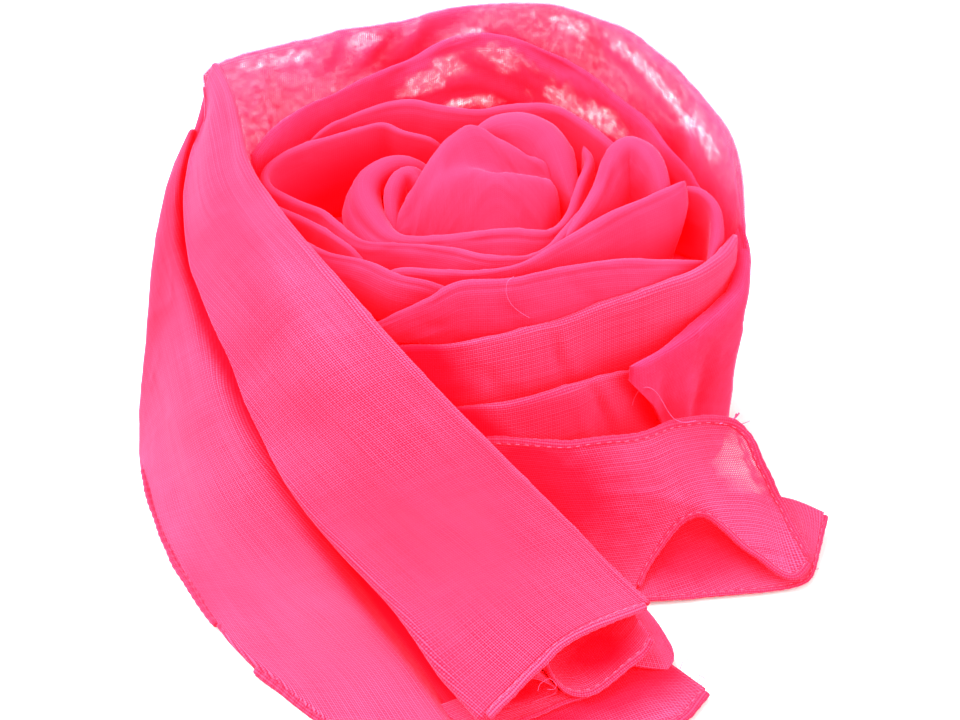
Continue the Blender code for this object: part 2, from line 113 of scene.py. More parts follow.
# ---- shader maths

class Socket:
    # an output of a node that takes Python maths
    def __init__(self, shader, link):
        self.shader = shader
        self.link = link

    def maths(self, operation, first, second=0.0):
        return self.shader.node("Math", {"operation": operation}, {0: first, 1: second})

    def __add__(self, other):
        return self.maths("ADD", self, other)

    def __radd__(self, other):
        return self.maths("ADD", other, self)

    def __sub__(self, other):
        return self.maths("SUBTRACT", self, other)

    def __rsub__(self, other):
        return self.maths("SUBTRACT", other, self)

    def __mul__(self, other):
        return self.maths("MULTIPLY", self, other)

    def __rmul__(self, other):
        return self.maths("MULTIPLY", other, self)

    def __abs__(self):
        return self.maths("ABSOLUTE", self)

    def sine(self):
        return self.maths("SINE", self)

    def clamped(self):
        return self.shader.node("Clamp", {}, {"Value": self, "Min": 0.0, "Max": 1.0})


class Shader:
    # a new material whose nodes are made one call at a time
    def __init__(self, name):
        self.material = bpy.data.materials.new(name)
        self.material.use_nodes = True
        self.tree = self.material.node_tree
        self.tree.nodes.clear()

    def node(self, kind, settings, sockets, output=0):
        made = self.tree.nodes.new("ShaderNode" + kind)
        for key, value in settings.items():
            setattr(made, key, value)
        for key, value in sockets.items():
            if isinstance(value, Socket):
                self.tree.links.new(value.link, made.inputs[key])
            else:
                made.inputs[key].default_value = value
        return Socket(self, made.outputs[output]) if made.outputs else None

    def blend(self, factor, first, second):
        return self.node("Mix", {"data_type": "RGBA"}, {0: factor, 6: first, 7: second}, 2)

    def noise(self, across, along, scale, detail=2.0):
        place = self.node("CombineXYZ", {}, {0: across, 1: along, 2: 0.0})
        flat = {"noise_dimensions": "2D"}
        return self.node("TexNoise", flat, {"Vector": place, "Scale": scale, "Detail": detail})

    def finish(self, surface):
        self.node("OutputMaterial", {}, {"Surface": surface})
        return self.material


# ---- cloth finishes

weave = {
    "across": 0.00054, "along": 0.00060,    # from thread to thread, in metres
    "wander": 0.00050,          # how far the threads stray
    "slubLength": 0.030,        # length of the thick and thin places in a thread
    "soft": -0.020,             # the threads are felted soft behind this y, in metres,
    "crisp": -0.105,            # and stand out crisply in front of this one
}


def weaveParts(shader, settings):
    # threads over and under each other, their thick and thin places, and the gaps between
    place = shader.node("UVMap", {"uv_map": "weave"}, {})
    across = shader.node("SeparateXYZ", {}, {0: place}, 0)
    along = shader.node("SeparateXYZ", {}, {0: place}, 1)
    stray = shader.noise(across, along, 55.0, 0.0) - 0.5
    warp = ((across + stray * settings["wander"] * 2) * (math.pi / settings["across"])).sine()
    weft = ((along + stray * settings["wander"] * 2) * (math.pi / settings["along"])).sine()
    slub = 1 / settings["slubLength"]
    warpSlub = shader.noise(across * (0.8 / settings["across"]), along * slub, 1.0, 1.0)
    weftSlub = shader.noise(across * slub, along * (0.8 / settings["along"]), 1.0, 1.0)
    spot = shader.node("TexCoord", {}, {}, 3)
    front = shader.node("SeparateXYZ", {}, {0: spot}, 1)
    clear = ((settings["soft"] - front) * (1 / (settings["soft"] - settings["crisp"]))).clamped()
    clear = 0.15 + clear * 0.85
    gaps = (1 - abs(warp)) * (1 - abs(weft))
    ups = abs(warp) * 0.55 + abs(weft) * 0.35 + warp * 0.11 + warp * weft * 0.16 - gaps * 0.9
    return {
        "across": across, "along": along, "ups": (ups - 0.45) * clear, "gaps": gaps,
        "slubs": (warpSlub * 1.3 + weftSlub * 0.7 - 1.0) * (0.3 + clear * 0.7),
    }


def makeVoile(name, finish):
    shader = Shader(name)
    parts = weaveParts(shader, weave)
    cloudy = shader.noise(parts["across"], parts["along"], finish["cloudScale"], 1.0)
    tone = 0.5 + parts["ups"] * finish["weaveContrast"]
    tone = tone + parts["slubs"] * finish["slubContrast"] + (cloudy - 0.5) * finish["clouds"]
    colour = shader.blend(tone.clamped(), finish["deep"], finish["light"])
    # painted shade: the colour deepens towards the painted shade colour by this attribute
    paintedShade = shader.node("Attribute", {"attribute_name": "paintedShade"}, {}, 2)
    colour = shader.blend(paintedShade, colour, finish["paintedShadeColour"])
    bump = shader.node("Bump", {}, {
        "Strength": finish["bump"], "Distance": 0.00035, "Height": parts["ups"] * finish["weaveRelief"],
    })
    rough = (0.80 + (cloudy - 0.5) * 0.20).clamped()
    cloth = shader.node("BsdfPrincipled", {}, {
        "Base Color": colour, "Roughness": rough, "Normal": bump,
        "Specular IOR Level": 0.06, "Sheen Weight": finish["sheen"], "Sheen Roughness": 0.45,
        # painted glow: emission in the painted shade colour, strong as the finish gives
        "Sheen Tint": finish["sheenTint"], "Emission Color": finish["paintedShadeColour"],
        "Emission Strength": finish["paintedGlow"],
    })
    through = shader.node("BsdfTranslucent", {}, {"Color": finish["through"], "Normal": bump})
    surface = shader.node("MixShader", {}, {0: finish["throughShare"], 1: cloth, 2: through})
    if finish["gapShare"] > 0:
        sheer = shader.node("Attribute", {"attribute_name": "sheer"}, {}, 2)
        patchy = shader.noise(parts["across"], parts["along"], 420.0, 3.0)
        holes = ((parts["gaps"] * 3.0).clamped() - 0.35) * finish["gapShare"]
        loose = finish["gapBase"] + holes + parts["slubs"] * 0.35 + (patchy - 0.5) * finish["gapPatches"]
        loose = sheer * loose
        solid = (1 - loose).clamped()
        nothing = shader.node("BsdfTransparent", {}, {})
        surface = shader.node("MixShader", {}, {0: solid, 1: nothing, 2: surface})
    return shader.finish(surface)


voileFinish = {
    "deep": (1.0, 0.012, 0.043, 1.0),
    "light": (1.0, 0.046, 0.104, 1.0),
    "paintedShadeColour": (1.0, 0.004, 0.024, 1.0),     # painted shade: the deeper, redder colour put in creases, hollows and between the layers
    "weaveContrast": 0.9, "slubContrast": 0.30, "clouds": 0.30, "cloudScale": 70.0,
    "weaveRelief": 1.0, "bump": 0.45,
    "sheen": 0.22, "sheenTint": (1.0, 0.38, 0.62, 1.0),
    "through": (1.0, 0.020, 0.066, 1.0), "throughShare": 0.34,
    "gapShare": 0.0, "paintedGlow": 0.0,
}
crispFinish = dict(voileFinish, deep=(1.0, 0.008, 0.034, 1.0), light=(1.0, 0.062, 0.125, 1.0),
                   weaveContrast=2.5, slubContrast=0.50, bump=0.5)
sheerFinish = dict(voileFinish, light=(1.0, 0.080, 0.185, 1.0), throughShare=0.55,
                   through=(1.0, 0.105, 0.245, 1.0), gapShare=0.75, gapBase=0.88, gapPatches=1.0)
openFinish = dict(crispFinish, light=(1.0, 0.082, 0.165, 1.0), throughShare=0.45,
                  through=(1.0, 0.075, 0.180, 1.0), gapShare=2.6, gapBase=0.36, gapPatches=0.30)
hemFinish = dict(voileFinish, deep=(0.97, 0.010, 0.034, 1.0), light=(1.0, 0.046, 0.092, 1.0),
                 weaveContrast=1.8, throughShare=0.15)
# painted glow: the imported layers give off light in the painted shade colour, in place of light that soaks
# down through the layers, so they don't go black
innerFinish = dict(voileFinish, deep=(0.96, 0.012, 0.045, 1.0), light=(1.0, 0.034, 0.092, 1.0), paintedGlow=0.35)

voile = makeVoile("voile", voileFinish)
voileCrisp = makeVoile("voile_crisp", crispFinish)      # the near cloth, whose threads show
voileSheer = makeVoile("voile_sheer", sheerFinish)
voileOpen = makeVoile("voile_open", openFinish)         # the thin end, whose gaps show as a grid
hemCloth = makeVoile("hem_cloth", hemFinish)
innerCloth = makeVoile("voile_packed", innerFinish)


def makeThread(name, colour):
    # a twisted thread: fine slanting ridges along it
    shader = Shader(name)
    place = shader.node("TexCoord", {}, {}, 3)
    across = shader.node("SeparateXYZ", {}, {0: place}, 0)
    along = shader.node("SeparateXYZ", {}, {0: place}, 1)
    twist = ((along * 9000.0) + (across * 12000.0)).sine() * 0.5 + 0.5
    fuzz = shader.node("TexNoise", {}, {"Vector": place, "Scale": 900.0, "Detail": 1.0})
    dark = tuple(part * 0.72 for part in colour[:3]) + (1.0,)
    shade = shader.blend((twist * 0.7 + fuzz * 0.5).clamped(), dark, colour)
    bump = shader.node("Bump", {}, {"Strength": 0.5, "Distance": 0.0001, "Height": twist})
    return shader.finish(shader.node("BsdfPrincipled", {}, {
        "Base Color": shade, "Roughness": (0.62 + fuzz * 0.25).clamped(), "Normal": bump,
        "Specular IOR Level": 0.3,
    }))


stitchThread = makeThread("stitch_thread", (1.0, 0.044, 0.092, 1.0))
looseThread = makeThread("loose_thread", (0.92, 0.05, 0.12, 1.0))


def makeFloor(settings):
    shader = Shader("floor")
    place = shader.node("TexCoord", {}, {}, 3)
    grain = shader.node("TexNoise", {}, {"Vector": place, "Scale": 3.0, "Detail": 2.0})
    pale = settings["floorColour"]
    dim = tuple(part * 0.985 for part in pale[:3]) + (1.0,)
    colour = shader.blend(grain, dim, pale)
    material = shader.finish(shader.node("BsdfPrincipled", {}, {
        "Base Color": colour, "Roughness": 0.9, "Specular IOR Level": 0.1,
        "Emission Color": pale, "Emission Strength": settings["floorGlow"],
    }))
    sheet = bmesh.new()
    bmesh.ops.create_grid(sheet, x_segments=1, y_segments=1, size=settings["floorSize"] / 2)
    mesh = bpy.data.meshes.new("floor")
    sheet.to_mesh(mesh)
    sheet.free()
    mesh.materials.append(material)
    floor = bpy.data.objects.new("floor", mesh)
    floor.location.z = -settings["floorDrop"]
    bpy.context.scene.collection.objects.link(floor)


makeFloor(studio)
print("finishes are made")


# ---- cloth helpers: every length in the tables is in millimetres

roseFoot = 54.3     # the rosette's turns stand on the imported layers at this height
floorFoot = 0.3     # the outer turns reach the table
shellThickness = 0.45


def catmullRom(table, steps):
    # a smooth curve through the table's rows, with that many points between two rows
    last = len(table) - 1
    values = []
    for row in range(last):
        a, b, c, d = (table[min(max(row + pick, 0), last)] for pick in (-1, 0, 1, 2))
        for step in range(steps):
            t = step / steps
            values.append(0.5 * (2 * b + (c - a) * t + (2 * a - 5 * b + 4 * c - d) * t ** 2
                                 + (3 * b - a - 3 * c + d) * t ** 3))
    values.append(table[-1])
    return np.array(values)


def lengthAlong(points):
    # how far each point is along the line through them
    return np.concatenate([[0.0], np.cumsum(np.linalg.norm(np.diff(points, axis=0), axis=1))])


def evenlySpaced(table, place, count):
    # that many rows, evenly spaced by their place along the table
    even = np.linspace(0.0, place[-1], count)
    return np.stack([np.interp(even, place, column) for column in table.T], 1)


def evenRows(rows, spacing, axes=slice(0, 2)):
    # the smooth curve through the rows, its points evenly spaced along the given columns
    dense = catmullRom(np.array(rows, float), 24)
    place = lengthAlong(dense[:, axes])
    return evenlySpaced(dense, place, max(6, round(place[-1] / spacing)) + 1)


def evenSection(points, count):
    # a section across the cloth, from three or more points in space
    dense = catmullRom(np.array(points, float), 16)
    return evenlySpaced(dense, lengthAlong(dense), count)


def unit(vectors):
    return vectors / np.maximum(np.linalg.norm(vectors, axis=-1, keepdims=True), 1e-9)


def softNoise(x, y, seed):
    # rolling hills from -1 to 1, one about every unit of x and y
    heights = np.random.default_rng(seed).uniform(-1.0, 1.0, (64, 64))
    x, y = x + 200.3, y + 200.7
    column, row = np.floor(x).astype(int), np.floor(y).astype(int)
    fx, fy = x - column, y - row
    fx, fy = fx ** 3 * (fx * (fx * 6 - 15) + 10), fy ** 3 * (fy * (fy * 6 - 15) + 10)
    corner = {(i, j): heights[(row + j) % 64, (column + i) % 64] for i in (0, 1) for j in (0, 1)}
    lower = corner[0, 0] * (1 - fx) + corner[1, 0] * fx
    upper = corner[0, 1] * (1 - fx) + corner[1, 1] * fx
    return lower * (1 - fy) + upper * fy


def surfaceNormals(points):
    return unit(np.cross(np.gradient(points, axis=1), np.gradient(points, axis=0)))


def upwardNormals(points):
    # the normals of a sheet that lies roughly flat, on its upper side
    normal = surfaceNormals(points)
    return -normal if normal[..., 2].mean() < 0 else normal


def surfaceLengths(points, zeroAt=0):
    # how far each point is across and along the cloth, as the weave runs
    across = np.linalg.norm(np.diff(points, axis=1), axis=2)
    along = np.linalg.norm(np.diff(points, axis=0), axis=2).mean(axis=1)
    u = np.concatenate([np.zeros((len(points), 1)), np.cumsum(across, 1)], 1)
    u -= u[:, zeroAt:zeroAt + 1]
    v = np.concatenate([[0.0], np.cumsum(along)])
    return u, np.repeat(v[:, None], u.shape[1], 1)


def flatSize(u, v):
    return (u[:, -1] - u[:, 0]).mean() * mm, (v[-1, 0] - v[0, 0]) * mm


def fadingEnds(share, power=0.6):
    # full in the middle of a path and faint at both ends
    return np.sin(math.pi * np.clip(share, 0.04, 0.96)) ** power


def bell(away, width):
    return np.exp(-(away / width) ** 2)


def creaseField(u, v, creases):
    # soft troughs (below zero) and ridges (above zero), each fading out at its ends
    height = np.zeros_like(u)
    for startV, startU, endV, endU, width, depth in creases:
        runV, runU = endV - startV, endU - startU
        length = runV ** 2 + runU ** 2
        t = np.clip(((v - startV) * runV + (u - startU) * runU) / length, 0.0, 1.0)
        away = np.hypot(v - startV - t * runV, u - startU - t * runU)
        height += depth * fadingEnds(t) * bell(away, width)
    return height


def pictureOf(points):
    # where the camera sees each point: column and row in pixels, and how squarely a surface faces it
    tilt = math.radians(view["tilt"])
    away = points - np.array(view["place"]) / mm
    depth = away[..., 1] * math.sin(tilt) - away[..., 2] * math.cos(tilt)
    rise = away[..., 1] * math.cos(tilt) + away[..., 2] * math.sin(tilt)
    wide, tall = view["picture"]
    focal = view["lens"] / view["sensor"] * wide
    column, row = wide / 2 + focal * away[..., 0] / depth, tall / 2 - focal * rise / depth
    facing = -(surfaceNormals(points) * away).sum(2) / np.linalg.norm(away, axis=2)
    return column, row, facing


def besidePath(column, row, path):
    # distance in mm from a path in the picture, the share of its length there, and whether right of it
    nearest = np.full(column.shape, 1e9)
    share, right = np.zeros_like(column), np.zeros(column.shape, bool)
    lengths = [math.dist(a, b) for a, b in zip(path, path[1:])]
    passed = 0.0
    for (startX, startY), (endX, endY), length in zip(path, path[1:], lengths):
        runX, runY = endX - startX, endY - startY
        t = np.clip(((column - startX) * runX + (row - startY) * runY) / length ** 2, 0, 1)
        away = np.hypot(column - startX - t * runX, row - startY - t * runY)
        closer = away < nearest
        nearest = np.where(closer, away, nearest)
        share = np.where(closer, (passed + t * length) / sum(lengths), share)
        right = np.where(closer, runX * (row - startY) - runY * (column - startX) < 0, right)
        passed += length
    return nearest / view["pixelsPerMm"], share, right


def seenCreases(points, marks):
    # creases placed where the picture shows them, on the side of the cloth that it shows
    column, row, facing = pictureOf(points)
    height = np.zeros_like(column)
    front = np.clip(facing * 6, 0.0, 1.0)
    for path, width, depth in marks:
        away, share, _ = besidePath(column, row, path)
        height += depth * fadingEnds(share) * front * bell(away, width)
    return height


def seenValley(points, valley):
    # the cloth dips beside the edge of the layer over it, and stays low under that layer
    column, row, _ = pictureOf(points)
    away, share, right = besidePath(column, row, valley["path"])
    width = np.interp(share, *valley["width"])
    depth = np.interp(share, *valley["depth"])
    return -depth * np.where(right, 1.0, bell(away, width))


def seenPatches(points, patches, torn=1.0):
    # places where the picture shows the cloth thin, or where painted shade goes, through every layer there
    column, row, _ = pictureOf(points)
    field = np.zeros_like(column)
    for placeX, placeY, halfLength, halfWidth, tilt, amount in patches:
        turn = math.radians(tilt)
        alongX = (column - placeX) * math.cos(turn) + (row - placeY) * math.sin(turn)
        acrossY = (row - placeY) * math.cos(turn) - (column - placeX) * math.sin(turn)
        away = np.hypot(alongX / halfLength, acrossY / halfWidth)
        ragged = 0.30 * softNoise(column / 13, row / 9, 91) + 0.12 * softNoise(column / 5, row / 4, 92)
        field = np.maximum(field, amount * np.clip(1.45 - 1.05 * (away + ragged * torn), 0.0, 1.0))
    return field


def doubledFolds(points, folds):
    # along these paths in the picture the cloth lies double, so less light comes through
    column, row, _ = pictureOf(points)
    field = np.ones_like(column)
    for path, width, amount in folds:
        away, share, _ = besidePath(column, row, path)
        field *= 1 - amount * fadingEnds(share, 0.5) * bell(away, width)
    return field


def paintedShadeAmount(points, u, cloth):
    # how much painted shade the cloth gets, from 0 to 1: by distance across the cloth, beside and under a
    # valley's edge, and in listed places of the picture
    field = np.zeros_like(u)
    for side, (start, full, amount) in zip((1, -1), cloth.get("paintedShade", [])):
        field = np.maximum(field, amount * np.clip((side * u - start) / (full - start), 0.0, 1.0) ** 0.8)
    # painted shade beside the valley's edge and full under the layer over it
    if "valley" in cloth:
        column, row, _ = pictureOf(points)
        away, share, right = besidePath(column, row, cloth["valley"]["path"])
        reach = np.interp(share, *cloth["valley"]["width"]) * 0.75
        field = np.maximum(field, np.where(right, 1.0, bell(away, reach)))
    # painted shade in listed places of the picture
    if "paintedShadePlaces" in cloth:
        field = np.maximum(field, seenPatches(points, cloth["paintedShadePlaces"], 0.3))
    return field


def relief(points, u, v, cloth):
    height = creaseField(u, v, cloth.get("creases", []))
    if "marks" in cloth:
        height += seenCreases(points, cloth["marks"])
    if "valley" in cloth:
        height += seenValley(points, cloth["valley"])
    for number, (sizeU, sizeV, amount) in enumerate(cloth["waves"]):
        height += amount * softNoise(u / sizeU, v / sizeV, cloth["seed"] + number)
    for number, (sizeU, sizeV, amount) in enumerate(cloth.get("crinkles", [])):
        sharp = 1 - np.abs(softNoise(u / sizeU, v / sizeV, cloth["seed"] + 40 + number))
        height += amount * (sharp ** 5 - 0.2)
    return points + surfaceNormals(points) * height[..., None], height


def makeMesh(name, points, u, v, material, marks={}):
    rows, columns = points.shape[:2]
    sheet = bmesh.new()
    bmesh.ops.create_grid(sheet, x_segments=columns - 1, y_segments=rows - 1, size=1.0)
    mesh = bpy.data.meshes.new(name)
    sheet.to_mesh(mesh)
    sheet.free()
    mesh.vertices.foreach_set("co", (points * mm).astype(np.float32).ravel())
    corners = np.zeros(len(mesh.loops), np.int32)
    mesh.loops.foreach_get("vertex_index", corners)
    places = np.stack([u.ravel()[corners], v.ravel()[corners]], 1) * mm
    mesh.uv_layers.new(name="weave")
    mesh.uv_layers["weave"].data.foreach_set("uv", places.astype(np.float32).ravel())
    for mark, field in marks.items():
        layer = mesh.attributes.new(mark, "FLOAT", "POINT")
        layer.data.foreach_set("value", field.astype(np.float32).ravel())
    mesh.materials.append(material)
    mesh.shade_smooth()
    mesh.update()
    piece = bpy.data.objects.new(name, mesh)
    scarf.objects.link(piece)
    return piece


def makeCloth(cloth, points, u, v, flat):
    # a thin shell of cloth on the solid's form
    points, height = relief(points, u, v, cloth)
    points[..., 2] = np.maximum(points[..., 2], floorFoot)
    troughShade = np.clip((-height - 0.3) / 1.8, 0.0, 1.0) * 0.6      # painted shade in the crease troughs, where less light reaches
    marks = {"paintedShade": np.maximum(paintedShadeAmount(points, u, cloth), troughShade)}
    isSheer = "thinPlaces" in cloth
    if isSheer:
        marks["sheer"] = np.maximum(seenPatches(points, cloth["thinPlaces"]), cloth["thin"])
        marks["sheer"] *= doubledFolds(points, cloth.get("doubled", []))
    material = cloth.get("finish", voileSheer if isSheer else voile)
    piece = makeMesh(cloth["name"] + "_cloth", points, u, v, material, marks)
    wall = piece.modifiers.new("cloth", "SOLIDIFY")
    wall.thickness = shellThickness * mm
    wall.offset = 0.0
    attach(piece, "root")
    nodes = cloth.get("nodes", [cloth["name"]])
    if nodes:
        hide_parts(*nodes)
    print(piece.name, "cut", "%.0f x %.0f mm" % (flat[0] / mm, flat[1] / mm))
    return piece, points


turnShape = {
    "ridgeSteps": 9,                        # points over a ridge
    # outer and inner side: the painted shade starts and is full this far from the ridge, and how deep it is
    "paintedShade": [(8, 34, 0.45), (2, 14, 0.75)],
    "neck": 0.85,                           # gap between the sides, as a share of the ridge's width
    "closes": 4.0,                          # the ridge flattens over this length at its ends
    "ripple": 0.4, "rippleLength": 11,      # the ridge's rise and fall
    "sway": 0.35, "swayLength": 13,         # and how far it strays sideways
    "spacing": 1.4, "depthSteps": 20,       # between points along the ridge, points down a side
    "crowding": 1.25,                       # which crowd towards the ridge
    "sag": 0.12,                            # of the outer side, as a share of its lean
    "puffIn": 0.0,                          # belly of the inner side
}


def makeTurn(cloth):
    # cloth folded over a ridge: up the inner side, round the ridge and down the outer side
    cloth = {**turnShape, **cloth}
    rows = evenRows(cloth["rows"], cloth["spacing"])
    x, y, top, lean, roll, puff = rows.T
    foot = cloth["foot"]
    if isinstance(foot, list):
        foot = np.interp(np.linspace(0, 1, len(x)), np.linspace(0, 1, len(foot)), foot)
    run = np.concatenate([[0.0], np.cumsum(np.hypot(np.diff(x), np.diff(y)))])
    top = top + cloth["ripple"] * softNoise(run / cloth["rippleLength"], run * 0, cloth["seed"] + 20)
    sway = cloth["sway"] * softNoise(run / cloth["swayLength"], run * 0, cloth["seed"] + 21)
    dx, dy = np.gradient(x), np.gradient(y)
    size = np.hypot(dx, dy)
    outX, outY = dy / size, -dx / size
    ends = np.clip(np.minimum(run, run[-1] - run) / cloth["closes"], 0.0, 1.0)
    closing = 0.08 + 0.92 * np.sin(ends * math.pi / 2) ** 0.7
    roll, puff = roll * closing, puff * closing
    gap = roll * cloth["neck"]

    def sideAt(share):
        # half the gap between the sides, the belly and the height, that share of the way down
        d = share ** cloth["crowding"]
        half = gap + (roll - gap) * np.exp(-d * 4)
        return d, half, np.sin(math.pi * d ** 0.6), top - roll - (top - roll - foot) * d

    section = []
    deep, over = cloth["depthSteps"], cloth["ridgeSteps"]
    for step in range(deep):
        d, half, belly, height = sideAt(1 - step / deep)
        section.append((-half + lean * d - cloth["puffIn"] * belly, height))
    for step in range(over):
        turn = math.pi * step / (over - 1)
        section.append((-roll * math.cos(turn), top - roll + roll * math.sin(turn)))
    for step in range(deep):
        d, half, belly, height = sideAt((step + 1) / deep)
        section.append((half + lean * (d + cloth["sag"] * np.sin(math.pi * d)) + puff * belly, height))
    points = np.zeros((len(x), len(section), 3))
    for column, (out, height) in enumerate(section):
        points[:, column, 0] = x + outX * (out + sway)
        points[:, column, 1] = y + outY * (out + sway)
        points[:, column, 2] = height
    u, v = surfaceLengths(points, deep + over // 2)
    makeCloth(cloth, points, u, v, flatSize(u, v))


rollSteps = 7       # steps round a laid cloth's folded edge
restColumns = 8     # columns over which the layer that is turned under comes to rest
swellColumns = 4.0  # and over which the upper layer swells towards that edge


def laidSections(cloth):
    rows = evenRows(cloth["rows"], cloth.get("spacing", 1.4), slice(3, 6))
    knots = len(cloth["rows"][0]) // 3
    count = cloth.get("across", 44)
    return np.array([evenSection(row.reshape(knots, 3), count) for row in rows])


def foldUnder(centre, normal, fold):
    # the columns that turn under beyond the cloth's first column, from the edge inwards
    out = centre[:, 0] - centre[:, 1]
    out /= np.linalg.norm(out, axis=1)[:, None]
    columns = []
    for step in range(1, rollSteps):
        turn = math.pi * step / rollSteps
        columns.append(centre[:, 0] + normal[:, 0] * fold["radius"] * math.cos(turn)
                       + out * fold["radius"] * math.sin(turn) * fold["round"])
    for column in range(fold["columns"]):
        spread = fold["radius"] + (fold["rest"] - fold["radius"]) * min(column / restColumns, 1.0)
        columns.append(centre[:, column] - normal[:, column] * spread)
    return np.stack(columns, 1)


def makeLaid(cloth):
    # a laid stretch: its upper layer and the edges that turn under
    centre = laidSections(cloth)
    normal = upwardNormals(centre)
    lift = np.full(centre.shape[1], float(cloth["lift"]))
    for fold, order in ((cloth.get("foldRight"), 1), (cloth.get("foldLeft"), -1)):
        if fold:
            swell = (fold["radius"] - cloth["lift"]) * np.exp(-np.arange(len(lift)) / swellColumns)
            lift += swell[::order]
    points, zero = centre + normal * lift[None, :, None], 0
    if "foldRight" in cloth:
        under = foldUnder(centre, normal, cloth["foldRight"])
        points = np.concatenate([under[:, ::-1], points], 1)
        zero = under.shape[1]
    if "foldLeft" in cloth:
        under = foldUnder(centre[:, ::-1], normal[:, ::-1], cloth["foldLeft"])
        points = np.concatenate([points, under], 1)
    u, v = surfaceLengths(points, zero)
    flat = flatSize(u, v)
    piece, points = makeCloth(cloth, points, u, v, flat)
    return piece, points[:, zero:zero + centre.shape[1]], flat, cloth


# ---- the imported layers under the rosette

packed = {
    "name": "packed_turns",
    "bearings": [
        # bearing in degrees, radius
        (0, 64), (30, 61), (60, 57), (90, 57), (120, 58), (150, 70),
        (180, 71), (210, 60), (240, 49), (270, 46), (300, 48), (330, 57),
    ],
    "top": 54.0, "round": 4.0,
    "turns": 17,            # layers from the middle to the rim
    "turnHeight": 1.6,      # how far their edges stand up
    "wallRelief": 0.5, "wallLayers": 0.21,      # depth of the wall's layers, and how many in a mm
    "steps": 240, "wallSteps": 20, "roundSteps": 6,
    "face": (4.6, 44.0, 90),    # rings of the upper face: from and to in mm from the rim, how many
    "weaveRadius": 0.06,
}


def makePacked(settings):
    # a drum whose upper face shows the edges of the layers wound into it
    radii = [radius for _, radius in settings["bearings"]]
    closed = radii[-2:] + radii + radii[:3]
    each = settings["steps"] // len(radii)
    smooth = catmullRom(np.array(closed, float)[:, None], each)[:, 0]
    outline = smooth[2 * each:2 * each + settings["steps"]]
    shoulder = settings["top"] - settings["round"]
    rings = [(height, 0.0) for height in np.linspace(0, shoulder, settings["wallSteps"])]
    for step in range(1, settings["roundSteps"] + 1):
        turn = math.pi / 2 * step / settings["roundSteps"]
        up, inwards = math.sin(turn), 1 - math.cos(turn)
        rings.append((shoulder + settings["round"] * up, settings["round"] * inwards))
    body = bmesh.new()
    base = bmesh.ops.create_circle(body, cap_ends=False, segments=settings["steps"], radius=1.0)["verts"]
    bearings = [math.atan2(vertex.co.y, vertex.co.x) for vertex in base]
    edges = list(body.edges)
    bmesh.ops.contextual_create(body, geom=base)
    levels = [base]
    inner = [(None, inset) for inset in np.linspace(*settings["face"])]
    for _ in rings[1:] + inner:
        made = bmesh.ops.extrude_edge_only(body, edges=edges)["geom"]
        edges = [item for item in made if isinstance(item, bmesh.types.BMEdge) and len(item.link_faces) == 1]
        levels.append([item for item in made if isinstance(item, bmesh.types.BMVert)])
    for (height, inset), level in zip(rings + inner, levels):
        for bearing, vertex in zip(bearings, level):
            share = bearing / (2 * math.pi)
            rim = outline[round(share % 1.0 * settings["steps"]) % settings["steps"]]
            radius = rim - inset
            tall = height
            if height is None:
                layer = (radius / rim * settings["turns"] + share) % 1.0
                tall = settings["top"] - settings["turnHeight"] * (1 - math.sin(math.pi * layer) ** 0.5)
            elif 0 < height < shoulder:
                layer = (height * settings["wallLayers"] + bearing * 0.5) % 1.0
                radius -= settings["wallRelief"] * (1 - math.sin(math.pi * layer))
            vertex.co = Vector((radius * math.cos(bearing), radius * math.sin(bearing), tall)) * mm
    bmesh.ops.contextual_create(body, geom=levels[-1])
    bmesh.ops.recalc_face_normals(body, faces=body.faces)
    mesh = bpy.data.meshes.new(settings["name"])
    body.to_mesh(mesh)
    body.free()
    layer = mesh.uv_layers.new(name="weave")
    for polygon in mesh.polygons:
        for corner in polygon.loop_indices:
            x, y, z = mesh.vertices[mesh.loops[corner].vertex_index].co
            layer.data[corner].uv = (math.atan2(y, x) * settings["weaveRadius"], z + math.hypot(x, y))
    mesh.materials.append(innerCloth)
    mesh.shade_smooth()
    piece = bpy.data.objects.new(settings["name"], mesh)
    scarf.objects.link(piece)
    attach(piece, "root")
    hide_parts("packed_layers")


makePacked(packed)
print("packed layers are made")


# ---- the rosette's turns, from the heart outwards

softWaves = [(16, 26, 0.60), (7, 11, 0.20)]
fineCrinkles = [(9, 16, 0.30), (5, 11, 0.20), (3, 6, 0.08)]
rosette = {"restsOn": ["packed_turns"], "foot": roseFoot, "waves": softWaves, "crinkles": fineCrinkles}

